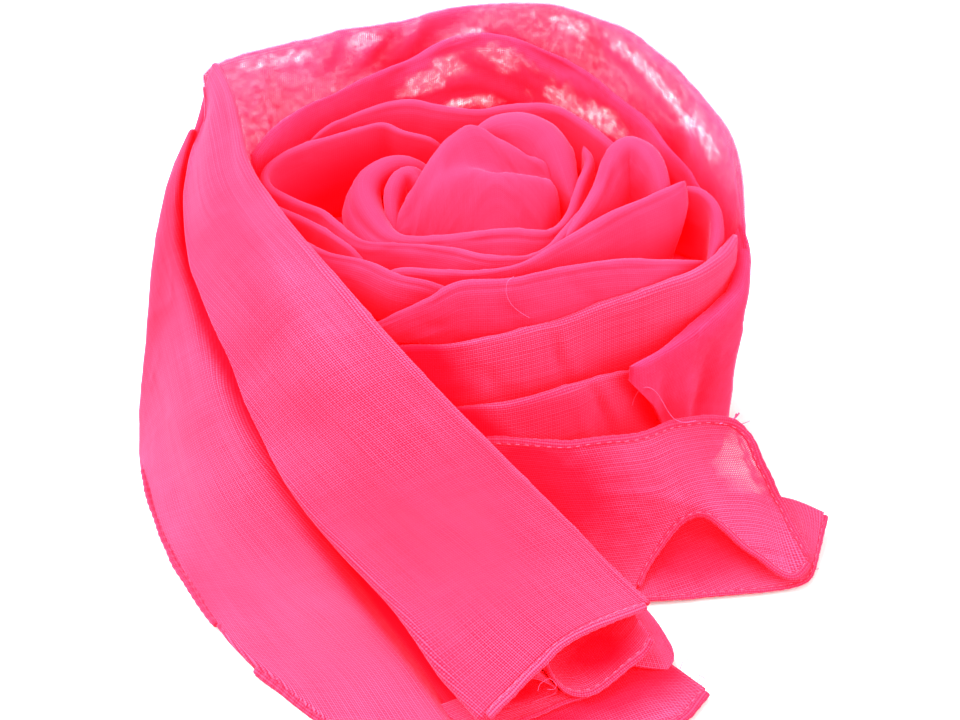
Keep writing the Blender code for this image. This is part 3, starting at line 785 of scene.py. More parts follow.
turn1 = dict(
    rosette, name="turn_1", seed=11, ripple=0.3,
    rows=[
        # x, y, top, lean, roll, puff
        (-13, 12, 74, 0, 1.6, 0.5), (-19, 14.5, 77, 1, 2.6, 0.8), (-26, 14.5, 77.5, 1, 3.6, 1.4),
        (-32, 10, 75.5, 1, 4.2, 2.0), (-33, 4, 72.5, 1, 4.2, 2.4), (-30, -3, 69.5, 2, 3.4, 2.6),
        (-24, -10, 67.5, 2, 2.2, 2.0), (-16, -14, 68, 2, 1.3, 1.0), (-3, -16, 71, 3, 1.3, 1.2),
        (9, -17, 73, 3, 1.5, 1.6), (19, -16, 72, 2, 1.4, 1.2), (25, -8, 73, 1, 1.2, 0.8),
        (29, 2, 77, 0, 1.2, 0.6), (31.5, 10, 79, 0, 1.3, 0.5), (30, 17, 80, 0, 1.3, 0.4),
    ],
)
turn2 = dict(
    rosette, name="turn_2", nodes=["turn_2_back", "turn_2_left", "turn_2_front"], seed=23,
    rows=[
        (-9, 18, 77, 0, 1.0, 0.3), (-14, 19.5, 81, 0, 1.1, 0.4), (-22, 22, 82, 0, 1.2, 0.5),
        (-29, 25, 83, 0, 1.2, 0.5), (-39, 22, 82, 0, 1.1, 0.5), (-52, 17, 80, 0, 1.1, 0.5),
        (-59, 13, 78, 0, 1.1, 0.4), (-62, 9, 76, 0, 1.1, 0.4), (-60.5, 4, 74, 0, 1.1, 0.4),
        (-53, 0, 72, 0, 0.9, 0.4), (-45, -4, 71, 1, 0.9, 0.4), (-41, -8, 70, 1, 0.9, 0.4),
        (-36, -13, 69, 1, 0.9, 0.5), (-31, -16.3, 69, 1, 0.9, 0.7), (-23, -18, 70, 2, 1.1, 1.0),
        (-16, -20, 71, 3, 1.2, 1.3), (-8, -23, 71, 3, 1.2, 1.3), (0, -26.5, 71, 2, 1.0, 0.9),
        (6, -27.5, 71, 1, 0.9, 0.7), (13, -26.5, 71, 1, 0.9, 0.7), (19, -23.5, 72, 1, 0.9, 0.7),
        (24, -17, 73, 1, 0.9, 0.7), (28, -11, 74.5, 1, 0.9, 0.4), (30.5, -7, 75, 1, 0.9, 0.2),
    ],
)
turn3Left = dict(
    rosette, name="turn_3_left", seed=31,
    rows=[
        (-66, 7, 71, 0, 0.9, 0.3), (-65, 4, 72, 0, 0.9, 0.3), (-60, -1, 71, 0, 0.9, 0.3),
        (-51, -6, 70, 0, 0.9, 0.3), (-43, -12, 69, 0, 0.9, 0.3), (-36, -18, 68, 0, 0.9, 0.3),
        (-31, -22, 64, 0, 0.8, 0.2),
    ],
)
turn3 = dict(
    rosette, name="turn_3", seed=37, foot=[roseFoot] * 14 + [75.0],
    rows=[
        (-27, -24.5, 62, 0, 0.8, 0.2), (-22, -26, 65.5, 0, 0.9, 0.3), (-13, -29, 67.5, 0, 0.9, 0.4),
        (-3, -31.5, 69, 0, 0.9, 0.4), (5, -32.5, 71, 0, 0.9, 0.5), (12, -32, 72.5, 0, 1.0, 0.6),
        (22, -26, 75, 1, 1.1, 1.0), (30, -20, 76, 2, 1.2, 1.4), (38, -15, 78, 3, 1.2, 1.6),
        (47, -10, 79.5, 3, 1.2, 1.6), (57, -4, 80.5, 2, 1.1, 1.0),
    ],
)
turn4 = dict(
    rosette, name="turn_4", seed=43,
    rows=[
        (-58, -11, 70, 0, 0.9, 0.3), (-53, -15, 70, 0, 0.9, 0.4), (-47, -19, 69, 1, 1.0, 0.6),
        (-41, -22.5, 69, 2, 1.0, 0.9), (-34, -24.5, 69, 3, 1.1, 1.3), (-29, -27.5, 69, 3, 1.2, 1.6),
        (-22, -33, 69, 2, 1.2, 1.4), (-14, -34.5, 68, 1, 1.1, 0.7), (-6, -36, 66, 0, 0.9, 0.3),
        (-1, -37, 63, 0, 0.8, 0.2),
    ],
)
turn5 = dict(
    rosette, name="turn_5", seed=51,
    rows=[
        (-36, -39, 56.5, 0, 0.9, 0.3), (-32, -40, 58, 0, 1.0, 0.4), (-27, -41, 60, 1, 1.0, 0.5),
        (-21, -41, 63, 2, 1.1, 0.8), (-13, -41, 67, 3, 1.1, 1.0), (-5, -40, 71, 4, 1.2, 1.3),
        (8, -39, 72, 5, 1.2, 1.3), (17, -37, 73, 5, 1.2, 1.3), (32, -33, 73, 5, 1.2, 1.3),
        (46, -28, 70, 4, 1.1, 1.0), (57, -23, 67, 2, 1.0, 0.6), (62, -20.5, 65, 1, 0.9, 0.3),
    ],
    creases=[
        # start along and across, end along and across, width, depth
        (42, 3, 50, 16, 2.2, -0.5), (60, 2, 72, 13, 2.0, -0.4), (20, 4, 30, 12, 1.8, -0.4),
    ],
)
turn6 = dict(
    rosette, name="turn_6", seed=61, foot=floorFoot, waves=[(22, 30, 0.7), (9, 14, 0.2)], depthSteps=44,
    finish=voileCrisp, paintedShadePlaces=[(425, 365, 90, 36, 52, 0.95)],
    creases=[(53, 2, 57, 26, 1.1, 0.55), (50, 6, 54, 26, 2.4, -0.5), (24, 4, 40, 22, 3, -0.5)],
    rows=[
        (-28, -50, 56, 6, 1.2, 0.8), (-20, -51, 58, 6, 1.2, 1.0), (-8, -50, 59, 7, 1.2, 1.2),
        (5, -47.5, 60, 8, 1.3, 1.2), (19, -44, 61.5, 8, 1.3, 1.2), (32, -39.5, 64, 7, 1.3, 1.2),
        (46, -34.5, 66, 6, 1.3, 1.2), (58, -29, 67, 3, 1.2, 1.0), (66, -22, 68, 0, 1.2, 0.6),
        (71, -13, 68.5, 0, 1.1, 0.3),
    ],
    marks=[
        ([(560, 327), (563, 347), (571, 381)], 0.7, 0.6), ([(553, 327), (557, 350), (563, 381)], 1.6, -0.5),
        ([(490, 364), (491, 378), (490, 391)], 0.8, -0.35),
    ],
)
turn7 = dict(
    rosette, name="turn_7", seed=71, foot=floorFoot, waves=[(20, 28, 0.6), (9, 14, 0.2)], depthSteps=34,
    finish=voileCrisp, creases=[(46, 2, 54, 30, 1.6, 0.7), (51, 2, 60, 26, 2.6, -0.7)],
    rows=[
        (-20, -59, 45, 2, 1.1, 0.5), (-12, -60, 46, 2, 1.1, 0.6), (-2, -60, 46, 3, 1.1, 0.7),
        (8, -58.5, 46, 4, 1.2, 0.8), (20, -55.5, 47, 4, 1.2, 0.8), (32, -50.5, 48.5, 3, 1.1, 0.6),
        (39, -47.5, 48, 1, 1.0, 0.3), (44, -44.6, 46.5, 0, 1.0, 0.2), (49, -41.6, 45, 0, 0.9, 0.2),
        (53, -39, 42, 0, 0.8, 0.1),
    ],
    paintedShadePlaces=[
        (470, 425, 70, 22, 30, 1.0), (560, 414, 90, 26, -4, 0.45), (650, 402, 34, 22, 55, 0.85),
    ],
    marks=[
        ([(588, 378), (600, 402), (615, 432)], 1.2, -0.8), ([(596, 376), (608, 402), (622, 430)], 0.9, 0.5),
    ],
)
turn8 = dict(
    rosette, name="turn_8_right", seed=83, foot=[48, 36, 18, 2, floorFoot, floorFoot, floorFoot, floorFoot],
    waves=[(20, 24, 0.5), (9, 12, 0.15)], depthSteps=40, neck=0.5, thinPlaces=[(712, 372, 36, 70, 0, 0.36)],
    thin=0.20, paintedShade=[(70, 120, 0.1), (2, 14, 0.6)],
    creases=[(12, 4, 20, 34, 3.0, -1.2), (24, 6, 30, 48, 3.2, 1.2), (36, 6, 34, 50, 3.0, -1.0)],
    marks=[
        ([(737, 268), (724, 296), (700, 322), (664, 346)], 0.8, -0.8),
        ([(733, 312), (716, 328), (698, 346)], 2.2, 0.7), ([(728, 345), (712, 380), (700, 416)], 3.0, -0.6),
    ],
    rows=[
        (39.5, -51.5, 53, 0, 0.9, 0.1), (47, -47, 54, 0, 1.2, 0.1), (54, -42, 55.5, 0, 1.5, 0.3),
        (60, -37, 56.8, 0, 1.9, 0.5), (66, -31.5, 58.6, 0, 2.3, 0.6), (71, -25, 60.5, 0, 2.6, 0.6),
        (73.4, -14, 63.5, 0, 2.2, 0.3), (73.6, -6, 67, 0, 1.4, 0.2),
    ],
)
petalRight = dict(
    rosette, name="petal_right", seed=91,
    marks=[
        ([(603, 142), (604, 165), (596, 195)], 1.0, -0.9),
        ([(611, 146), (614, 170), (606, 200)], 0.9, -0.7),
        ([(622, 150), (626, 172), (618, 196)], 1.6, -0.5),
    ],
    rows=[
        (22, -21.5, 71.5, 2, 0.8, 0.3), (27.5, -14, 75, 3, 1.1, 0.8), (32, -6, 78.8, 4, 1.7, 1.2),
        (35.4, 1, 82.6, 4, 2.6, 1.4), (38.6, 6, 86, 3, 3.6, 1.4), (42, 8, 87.6, 3, 4.0, 1.4),
        (45.8, 6.6, 86.8, 4, 3.8, 1.4), (48.8, 2.6, 84.6, 3, 3.0, 1.0), (50.6, -2.5, 81, 0, 2.0, 0.5),
        (51.5, -7, 77, 0, 1.2, 0.3),
    ],
)
pocketRight = dict(
    rosette, name="pocket_right", seed=97, puffIn=1.0, paintedShadePlaces=[(682, 228, 26, 14, 70, 0.95)],
    rows=[
        (55, 3, 73.5, 0, 1.0, 0.2), (59, -0.5, 76.5, 0, 1.1, 0.3), (62.6, -3, 76.5, 0, 1.2, 0.3),
        (65.4, -7, 75, 0, 1.3, 0.3), (66, -12, 72, 0, 1.3, 0.3), (65, -17, 69, 0, 1.3, 0.3),
        (63.4, -21, 66, 0, 1.0, 0.2),
    ],
)
thinBack = [
    # where the picture shows the back worn thin: x, y, half length, half width in pixels,
    # tilt in degrees, how thin
    (285, 58, 72, 11, -13, 0.72), (366, 42, 32, 13, -10, 0.78), (412, 30, 16, 7, -50, 0.65),
    (457, 46, 54, 14, -27, 1.02), (428, 82, 60, 20, -28, 0.95), (520, 62, 66, 20, 24, 0.92),
    (466, 101, 46, 12, -4, 1.08), (562, 100, 50, 18, 22, 0.96), (604, 120, 44, 18, 32, 1.05),
    (600, 88, 20, 4, 45, 0.70), (572, 26, 52, 13, 20, 0.76), (640, 66, 64, 12, 42, 0.80),
    (672, 108, 66, 13, 46, 0.90), (706, 140, 42, 12, 66, 0.80), (694, 200, 26, 5, 80, 0.40),
]
backFolds = [
    # soft folds that cross them: path in the picture, width in mm, how much of the light they stop
    ([(378, 84), (390, 66), (412, 44), (435, 25), (467, 9)], 2.2, 0.75),
    ([(380, 84), (400, 68), (417, 57), (446, 48), (476, 41), (504, 28)], 1.5, 0.85),
    ([(386, 98), (400, 104), (426, 101), (456, 92), (490, 83), (518, 101)], 1.4, 0.85),
    ([(500, 36), (518, 41), (541, 60), (575, 73), (598, 96), (612, 101)], 1.7, 0.8),
    ([(520, 66), (536, 84), (540, 104)], 1.6, 0.6),
    ([(343, 34), (336, 58), (322, 74)], 1.4, 0.6), ([(396, 28), (376, 52), (350, 76)], 1.8, 0.6),
    ([(588, 34), (632, 70), (668, 108), (700, 160)], 1.3, 0.5),
    ([(640, 120), (680, 172), (712, 208), (726, 262)], 5.5, 0.95),
]
backFold1 = dict(
    rosette, name="back_fold_1", seed=103,
    rows=[
        (-50, 25, 77, 0, 1.0, 0.4), (-46, 27, 80, 0, 1.1, 0.6), (-41, 29, 82, 0, 1.2, 0.9),
        (-30, 33, 84, 0, 1.3, 1.4), (-21, 33.5, 85, 0, 1.4, 1.6), (-12, 32, 84, 0, 1.4, 1.5),
        (0, 31, 83, 0, 1.3, 1.2), (9, 32, 85, 0, 1.3, 1.0), (19, 30, 86, 0, 1.2, 0.8),
        (29, 24.5, 84, 0, 1.1, 0.6), (36, 18, 82, 0, 1.0, 0.4), (41, 12.5, 79, 0, 0.9, 0.3),
        (45, 7, 74, 0, 0.8, 0.2),
    ],
)
backFold2 = dict(
    rosette, name="back_fold_2", seed=109, waves=[(15, 22, 0.8), (7, 10, 0.25)], depthSteps=26,
    thinPlaces=thinBack, thin=0.40, doubled=backFolds, paintedShade=[(14, 34, 0.3), (12, 34, 0.4)],
    marks=[
        ([(380, 84), (417, 57), (476, 41), (504, 28)], 2.0, -1.3),
        ([(390, 96), (430, 72), (480, 56)], 3.0, 0.9),
        ([(386, 98), (426, 101), (456, 92), (490, 83), (518, 101)], 1.8, -1.2),
        ([(518, 41), (541, 60), (575, 73), (598, 96)], 2.4, -1.2),
        ([(420, 108), (470, 103), (505, 96)], 2.2, 0.8),
    ],
    rows=[
        (-66, 14, 78, 0, 1.0, 0.4), (-61, 22, 81, 0, 1.1, 0.6), (-53, 32, 84, 0, 1.2, 0.9),
        (-41, 39, 87, 0, 1.3, 1.2), (-30, 43, 90, 0, 1.4, 1.8), (-20, 46, 93, 0, 1.4, 2.2),
        (-9, 50, 97, 0, 1.4, 2.4), (0, 52, 98, 0, 1.4, 2.4), (12, 51, 97, 0, 1.4, 2.2),
        (24, 45, 94, 0, 1.3, 1.8), (36, 35, 90, 0, 1.2, 1.2), (46, 24, 87, 0, 1.1, 0.8),
        (53, 12, 84, 0, 1.0, 0.5), (58.5, 5.5, 80.5, 0, 0.9, 0.3), (63, -1.5, 75, 0, 0.8, 0.2),
    ],
    creases=[
        (60, 4, 96, 16, 2.6, -1.2), (74, 2, 120, 9, 2.2, 1.0), (100, 10, 140, 6, 2.4, -1.1),
        (66, 12, 104, 22, 2.4, 1.1), (118, 3, 150, 14, 2.4, -0.9),
    ],
)
bowlBack = dict(
    rosette, name="wall_back", seed=113, foot=floorFoot, waves=[(26, 34, 0.9), (10, 16, 0.25)],
    depthSteps=56, spacing=1.6, thinPlaces=thinBack, thin=0.55, doubled=backFolds,
    paintedShade=[(60, 110, 0.12), (16, 40, 0.45)],
    creases=[
        # start along and across, end along and across, width, depth
        (18, 8, 30, 74, 4.5, -2.2), (34, 20, 26, 92, 3.5, 1.7), (52, 4, 66, 52, 5.0, -1.9),
        (70, 30, 58, 96, 4.0, 2.0), (88, 6, 96, 84, 5.5, -2.4), (104, 26, 118, 90, 3.2, 1.7),
        (126, 4, 120, 60, 4.6, -2.0), (140, 16, 152, 95, 4.2, 2.0), (163, 5, 156, 70, 5.2, -2.0),
        (178, 22, 190, 88, 3.6, 1.7), (200, 6, 196, 64, 4.4, -1.9), (214, 12, 224, 80, 3.8, 1.5),
        (40, 60, 96, 72, 3.2, -1.2), (120, 74, 176, 64, 3.4, -1.4),
    ],
    marks=[
        # path in the picture, width and depth in mm
        ([(343, 36), (330, 70)], 2.4, 0.9), ([(396, 28), (372, 66)], 2.6, -1.2),
        ([(412, 24), (388, 76)], 2.4, 1.1), ([(432, 14), (404, 80)], 3.0, -1.4),
        ([(560, 18), (640, 90)], 2.6, -0.8), ([(600, 40), (690, 150)], 3.0, 0.9),
        ([(640, 60), (712, 190)], 2.6, -1.0), ([(560, 50), (640, 130)], 2.8, 0.8),
        ([(280, 90), (250, 130)], 3.0, -0.8),
    ],
    rows=[
        (-81, 34.5, 93, 0, 1.0, 0.3), (-76, 38, 95.5, -1, 1.0, 0.4), (-62, 43, 98, -3, 1.1, 0.6),
        (-40, 51, 100, -3, 1.2, 0.9), (-24, 55, 100.5, -3, 1.2, 1.2), (-15, 57, 102, -3, 1.3, 1.4),
        (0, 60, 103.5, -3, 1.3, 1.4), (15, 60, 104.5, -3, 1.3, 1.4), (24, 57, 105, -3, 1.3, 1.2),
        (35, 50, 104, -3, 1.2, 1.2), (46, 40, 102, -3, 1.2, 1.2), (59, 24, 97, -3, 1.2, 0.9),
        (67, 10, 92, -2, 1.1, 0.6), (71, 2, 86, -1, 1.1, 0.4), (73, -4, 78, 0, 1.0, 0.3),
        (74.2, -13, 66, 0, 0.9, 0.2),
    ],
)
sideLeft = dict(
    rosette, name="side_left", seed=127, foot=floorFoot, waves=[(24, 20, 0.8), (10, 12, 0.25)],
    depthSteps=34, puffIn=0.4, paintedShade=[(40, 90, 0.15), (4, 20, 0.5)],
    creases=[
        (12, 6, 22, 40, 3.6, -1.9), (30, 8, 36, 60, 4.2, 1.9), (48, 6, 52, 74, 4.0, -2.0),
        (62, 14, 70, 80, 3.4, 1.5), (26, 40, 66, 52, 3.0, -1.2),
    ],
    rows=[
        (-100, -24.5, 8, 0, 0.9, 0.2), (-98, -21, 22, 0, 0.9, 0.3), (-94.5, -15, 41, 0, 1.0, 0.6),
        (-90, -4, 59, 0, 1.0, 0.8), (-86, 8, 73, 0, 1.2, 0.8), (-82, 22, 84, 0, 1.2, 0.6),
        (-78.2, 36.4, 91.5, 0, 1.0, 0.4),
    ],
)
budBack = dict(
    rosette, name="bud_back", seed=131,
    rows=[
        (-2, 22, 81.5, 0, 1.6, 0.3), (1.5, 21.5, 84.5, 0, 3.0, 0.5), (6, 21.5, 86.5, 0, 4.8, 0.8),
        (12, 20.5, 87.5, 0, 6.2, 1.0), (18, 17.5, 86.5, 0, 6.2, 1.0), (22, 12.5, 84, 0, 5.2, 0.8),
        (24.5, 7, 80, 0, 3.4, 0.6), (26, 3, 76.5, 0, 2.0, 0.3), (27.5, -2, 72, 0, 1.2, 0.2),
    ],
)

# the small lobe that shows between the bud and the turn to its left
budLobe = dict(
    rosette, name="bud_lobe", nodes=[], seed=137,
    rows=[
        (-23.5, -7, 61, 0, 0.8, 0.2), (-25, -2, 69, 0, 1.4, 0.3), (-25, 4, 74, 0, 1.9, 0.5),
        (-22.5, 8.5, 76.5, 0, 2.3, 0.6), (-18.5, 8, 77, 0, 2.0, 0.4), (-16, 4, 75, 0, 1.4, 0.2),
    ],
)

for turn in (turn1, turn2, turn3Left, turn3, turn4, turn5, turn6, turn7, turn8, petalRight,
             pocketRight, backFold1, backFold2, bowlBack, sideLeft, budBack, budLobe):
    makeTurn(turn)
print("turns are made")


# ---- the heart of the rosette

bud = dict(
    rosette, name="bud", seed=141, waves=[(14, 18, 0.35), (6, 9, 0.10)], lift=0.0, across=84, spacing=0.8,
    rows=[
        # foot behind, back, peak, valley, roll, front, foot in front
        (-27, -1, 55, -26.4, -2, 58, -25.6, -4, 62, -25, -5, 63,
         -24.4, -5.8, 62, -24, -6.6, 58, -24, -7.2, 54.5),
        (-24.5, 8, 55, -23.4, 6, 61, -21.5, 0, 71.5, -19.5, -3.8, 69.5,
         -18.6, -6.5, 66, -18, -9.4, 58, -18, -10, 54.5),
        (-17, 18, 55, -16, 16, 64, -14.5, 8.5, 80, -12.4, 2, 78.4,
         -11, -3.6, 73.5, -11, -11.5, 58, -11, -12, 54.5),
        (-10, 22.5, 55, -10, 22, 66, -8, 16, 84, -5, 7.5, 79.6,
         -3.6, 0.8, 76.8, -3, -12.5, 58, -3, -13, 54.5),
        (-2, 21.5, 55, -2, 20.5, 66, -2, 18, 86, 4, 7, 77, 4, 1, 78, 4, -13, 58, 4, -13.5, 54.5),
        (7, 21, 55, 7, 20, 66, 5.5, 14.5, 83.5, 9, 6.5, 75.8, 11, 0.5, 78.4, 11, -13, 58, 11, -13.5, 54.5),
        (15, 19, 55, 15, 18, 64, 13, 11, 80.5, 15, 5.5, 75.4, 17.5, 0, 77.6, 17, -12.5, 58, 17, -13, 54.5),
        (20, 12, 55, 20, 11, 60, 19, 8, 78, 20, 4, 74.8, 21.5, -1, 75.2, 21, -8, 58, 21, -8.5, 54.5),
        (22.5, 7, 54.6, 22.5, 6, 58, 22.5, 3, 64, 22.7, 1, 66, 23, -1, 64, 23, -4, 58, 23, -4.5, 54.5),
    ],
)
budPiece, _, budFlat, _ = makeLaid(bud)
print("bud is made")


# ---- the free ends

laidWaves = [(24, 34, 0.8), (10, 15, 0.22)]
laidCrinkles = [(7, 18, 0.20), (3.5, 8, 0.08)]
laidEnd = {"restsOn": ["tail_bottom_cloth"], "crinkles": laidCrinkles, "lift": 0.0, "finish": voileCrisp}

tailTop = dict(
    laidEnd, name="tail_top", restsOn=["tail_under_cloth", "wall_back_cloth"], seed=151, waves=laidWaves,
    lift=0.8, foldRight={"radius": 1.9, "round": 0.9, "columns": 22, "rest": 0.8},
    foldLeft={"radius": 1.7, "round": 0.9, "columns": 9, "rest": 1.2}, across=60,
    paintedShadePlaces=[(490, 610, 230, 120, 50, 0.20)],
    rows=[
        # right x, y, z,   middle x, y, z,    left x, y, z
        (-77.5, 35, 95, -78.6, 33, 93.9, -79.2, 30, 91.4),
        (-72.4, 22, 92.5, -75.8, 20, 91.5, -77.8, 18, 87.2),
        (-69.0, 10, 89, -75.2, 6, 87.5, -81.0, 8, 80.9),
        (-65.4, -4, 84.5, -74, -10, 81.5, -81.6, -6, 73.4),
        (-57.3, -17, 80, -68.5, -22, 76, -78.0, -24, 65.2),
        (-40, -41, 74, -54.5, -44, 69.5, -67.2, -46, 54.5),
        (-24, -60, 66.5, -42, -63, 59.5, -58.4, -63, 44.0),
        (-8, -72, 55, -28.5, -77, 47.5, -47.8, -78, 34.6),
        (8, -81, 42, -14, -88, 36, -34, -91, 25.0),
        (24, -89, 28.5, 1, -99, 26, -19, -106, 18.0),
        (33, -95, 21, 11, -107, 20.5, -9, -120, 12.5),
        (42, -101.5, 15, 21, -114, 16, 1, -132, 8),
    ],
    marks=[
        ([(262, 180), (330, 300), (420, 430), (520, 540)], 9.0, 0.6),
        ([(240, 240), (300, 380), (380, 500), (450, 620)], 7.0, -0.5),
        ([(350, 420), (420, 520), (500, 610)], 5.0, 0.4),
        ([(470, 470), (540, 560), (590, 620)], 4.0, -0.35),
        ([(225, 150), (238, 220), (262, 300)], 5.0, -0.5),
    ],
)
tailUnder = dict(
    laidEnd, name="tail_under", restsOn=["packed_turns"], seed=157, waves=laidWaves, lift=0.7, across=72,
    valley={
        "path": [(202, 112), (193, 146), (186, 175), (182, 209), (183, 245), (190, 281), (202, 318),
                 (218, 354), (235, 388), (257, 428), (291, 484), (335, 545), (376, 600), (420, 655),
                 (470, 722)],
        # shares of the path's length, and the value at each
        "depth": ([0, 0.25, 0.45, 1], [3.5, 4.5, 7.0, 7.0]),
        "width": ([0, 0.25, 0.45, 1], [0.9, 1.3, 2.8, 3.1]),
    },
    marks=[
        ([(165, 330), (190, 420), (235, 520), (300, 620)], 7.0, 0.6),
        ([(215, 420), (255, 500), (320, 590), (385, 680)], 4.0, 0.7),
        ([(150, 400), (175, 480), (225, 570)], 5.0, -0.5),
    ],
    rows=[
        # inner, middle, outer, lip
        (-78, 22, 82, -81, 21, 84, -83.8, 19, 83, -84.8, 18, 79),
        (-79, 12, 78, -84, 11, 80, -87.6, 9, 77.5, -88.6, 9, 72),
        (-79, 2, 72, -85.5, 1, 72.5, -90.2, -1, 68.5, -91.2, -1, 62),
        (-74, -20, 60, -85, -16, 53, -94.5, -16, 43, -95.3, -16, 36),
        (-68, -40, 49, -85, -32, 32, -100, -25, 8, -100.5, -25, 3),
        (-60, -57, 39, -79, -51, 22, -96.5, -40, 1.4, -97.5, -39.5, 1.2),
        (-47, -72, 30, -69, -70, 16, -88, -62, 1.4, -89, -61.6, 1.2),
        (-32, -85, 21, -56, -87, 11, -77, -82, 1.4, -78, -81.6, 1.2),
        (-16, -98, 13, -43, -103, 8, -63, -102, 1.4, -64, -102, 1.2),
        (-2, -113, 7, -27, -118, 5, -46, -118, 1.4, -47, -118.4, 1.2),
        (8, -128, 3.2, -12, -134, 3.0, -27, -135, 1.4, -28, -135.6, 1.2),
    ],
)
# the layer that hangs as a loop in the mouth of the tail
tailMiddle = dict(
    laidEnd, name="tail_middle", seed=163, waves=[(14, 16, 0.3)], across=34, spacing=0.8,
    paintedShade=[(-40, -41, 0), (-24, -14, 0)], paintedShadePlaces=[(596, 652, 44, 26, -20, 1.0)],
    rows=[
        # deep in the mouth, middle, rim
        (0.0, -99.5, 22.5, 6.5, -106.5, 18.5, 13.1, -113.7, 14.3),
        (1.5, -101, 16, 8, -108, 14, 14.8, -115.5, 12.0),
        (4, -104, 10, 10.5, -111, 9.6, 17.0, -118.7, 9.0),
        (7, -105, 7.5, 13, -112.5, 7.2, 19.3, -120.4, 6.8),
        (10, -105, 6.4, 16, -113, 5.8, 22.0, -121.1, 5.2),
        (15, -104, 6.2, 21, -112.5, 5.4, 26.8, -120.8, 4.6),
        (20, -101, 6.6, 26, -109.5, 6.0, 31.4, -117.9, 5.2),
        (25, -97, 8.5, 31, -105.5, 7.6, 36.3, -114.3, 6.8),
        (29, -95, 14, 35, -103, 11.5, 41.3, -111.4, 9.6),
        (31, -94, 18.5, 37, -101, 15.5, 42.6, -109.5, 12.6),
    ],
)
# a narrow fold like a tube beside that loop
tailFold = dict(
    laidEnd, name="tail_fold", nodes=[], seed=165, waves=[(12, 14, 0.2)], across=30, spacing=0.7,
    paintedShadePlaces=[(516, 694, 32, 11, -12, 1.0)],
    rows=[
        (-11.5, -111, 6.5, -6, -117.5, 5.0, -0.5, -124.4, 3.5),
        (-9, -109, 9.5, -4, -116, 7.6, 1.5, -123.5, 5.5),
        (-5, -106.5, 13.5, 0, -113.5, 11, 5.2, -121.3, 8.5),
        (-1, -105, 15, 4, -112.5, 12.5, 9.6, -120.1, 10),
        (3, -104.5, 14.5, 8, -112, 12, 13.8, -119.7, 9.5),
        (7, -105.5, 11, 12, -112.5, 9, 17.6, -120.1, 7),
        (8.5, -106.5, 7.0, 13.5, -113, 5.6, 18.9, -120.3, 4.6),
        (4.5, -108, 5.0, 9.5, -114.5, 4.0, 14.4, -121.7, 3.2),
        (-2, -110, 4.6, 3, -117, 3.6, 8.4, -123.8, 2.8),
        (-8, -111.5, 4.8, -3, -118, 3.8, 2.5, -124.8, 2.8),
        (-11.3, -111.4, 6.1, -5.8, -117.9, 4.7, -0.5, -124.6, 3.3),
    ],
)
# the layer that both lie on, which shows as a narrow lip
tailLip = dict(
    laidEnd, name="tail_lip", nodes=[], seed=166, waves=[(12, 14, 0.15)], across=16, spacing=0.9,
    rows=[
        (-11, -124, 2.6, -6.5, -128, 2.5, -2, -132.0, 2.3),
        (-4, -121, 2.7, 0.5, -125, 2.6, 5.1, -129.2, 2.5),
        (1, -119.5, 2.8, 5.5, -123.5, 2.8, 9.8, -127.5, 2.8),
        (7, -117, 2.9, 11, -121, 2.9, 15.5, -124.9, 3.0),
        (14, -114, 3.1, 18, -118, 3.2, 22.1, -121.9, 3.3),
        (20, -112, 3.4, 24, -116, 3.5, 28.0, -120.0, 3.6),
    ],
)
# the rounded corner of a layer that shows behind the tail's right corner
tailCorner = dict(
    laidEnd, name="tail_corner", nodes=[], seed=169, waves=[(12, 12, 0.3)], across=30, spacing=0.7,
    thinPlaces=[(654, 645, 11, 9, 30, 1.0)], thin=0.0, finish=voileOpen,
    rows=[
        (29, -90, 14, 35, -92, 12, 40.5, -94.8, 9.6),
        (31, -95, 11.5, 38, -96.5, 9.6, 44.8, -98.6, 7.2),
        (33, -99.5, 9.5, 41, -100.5, 7.4, 47.6, -102.8, 5.2),
        (35, -104, 7.5, 42.5, -104.5, 5.4, 49.2, -106.2, 3.8),
        (37, -109, 6.0, 43.5, -108.5, 4.2, 49.3, -109.4, 2.8),
        (38, -113, 5.0, 43.5, -112.5, 3.6, 47.5, -112.0, 2.4),
    ],
)
tailBottom = dict(
    laidEnd, name="tail_bottom", restsOn=["tail_under_cloth"], seed=167, waves=[(18, 20, 0.3)], across=34,
    spacing=1.0, paintedShadePlaces=[(540, 728, 90, 16, -14, 0.8), (625, 688, 100, 30, -24, 0.85)],
    rows=[
        (-6, -116, 1.4, -3, -126, 1.4, 0, -140, 1.4),
        (6, -106, 1.8, 12, -121, 1.6, 17, -138, 1.4),
        (18, -98, 2.4, 27, -115, 2.0, 34, -133.5, 1.4),
        (28, -94, 3.2, 38, -110, 2.4, 48, -127.5, 1.4),
        (35, -97, 4.0, 46, -107.6, 2.8, 56.6, -117.4, 1.6),
    ],
)
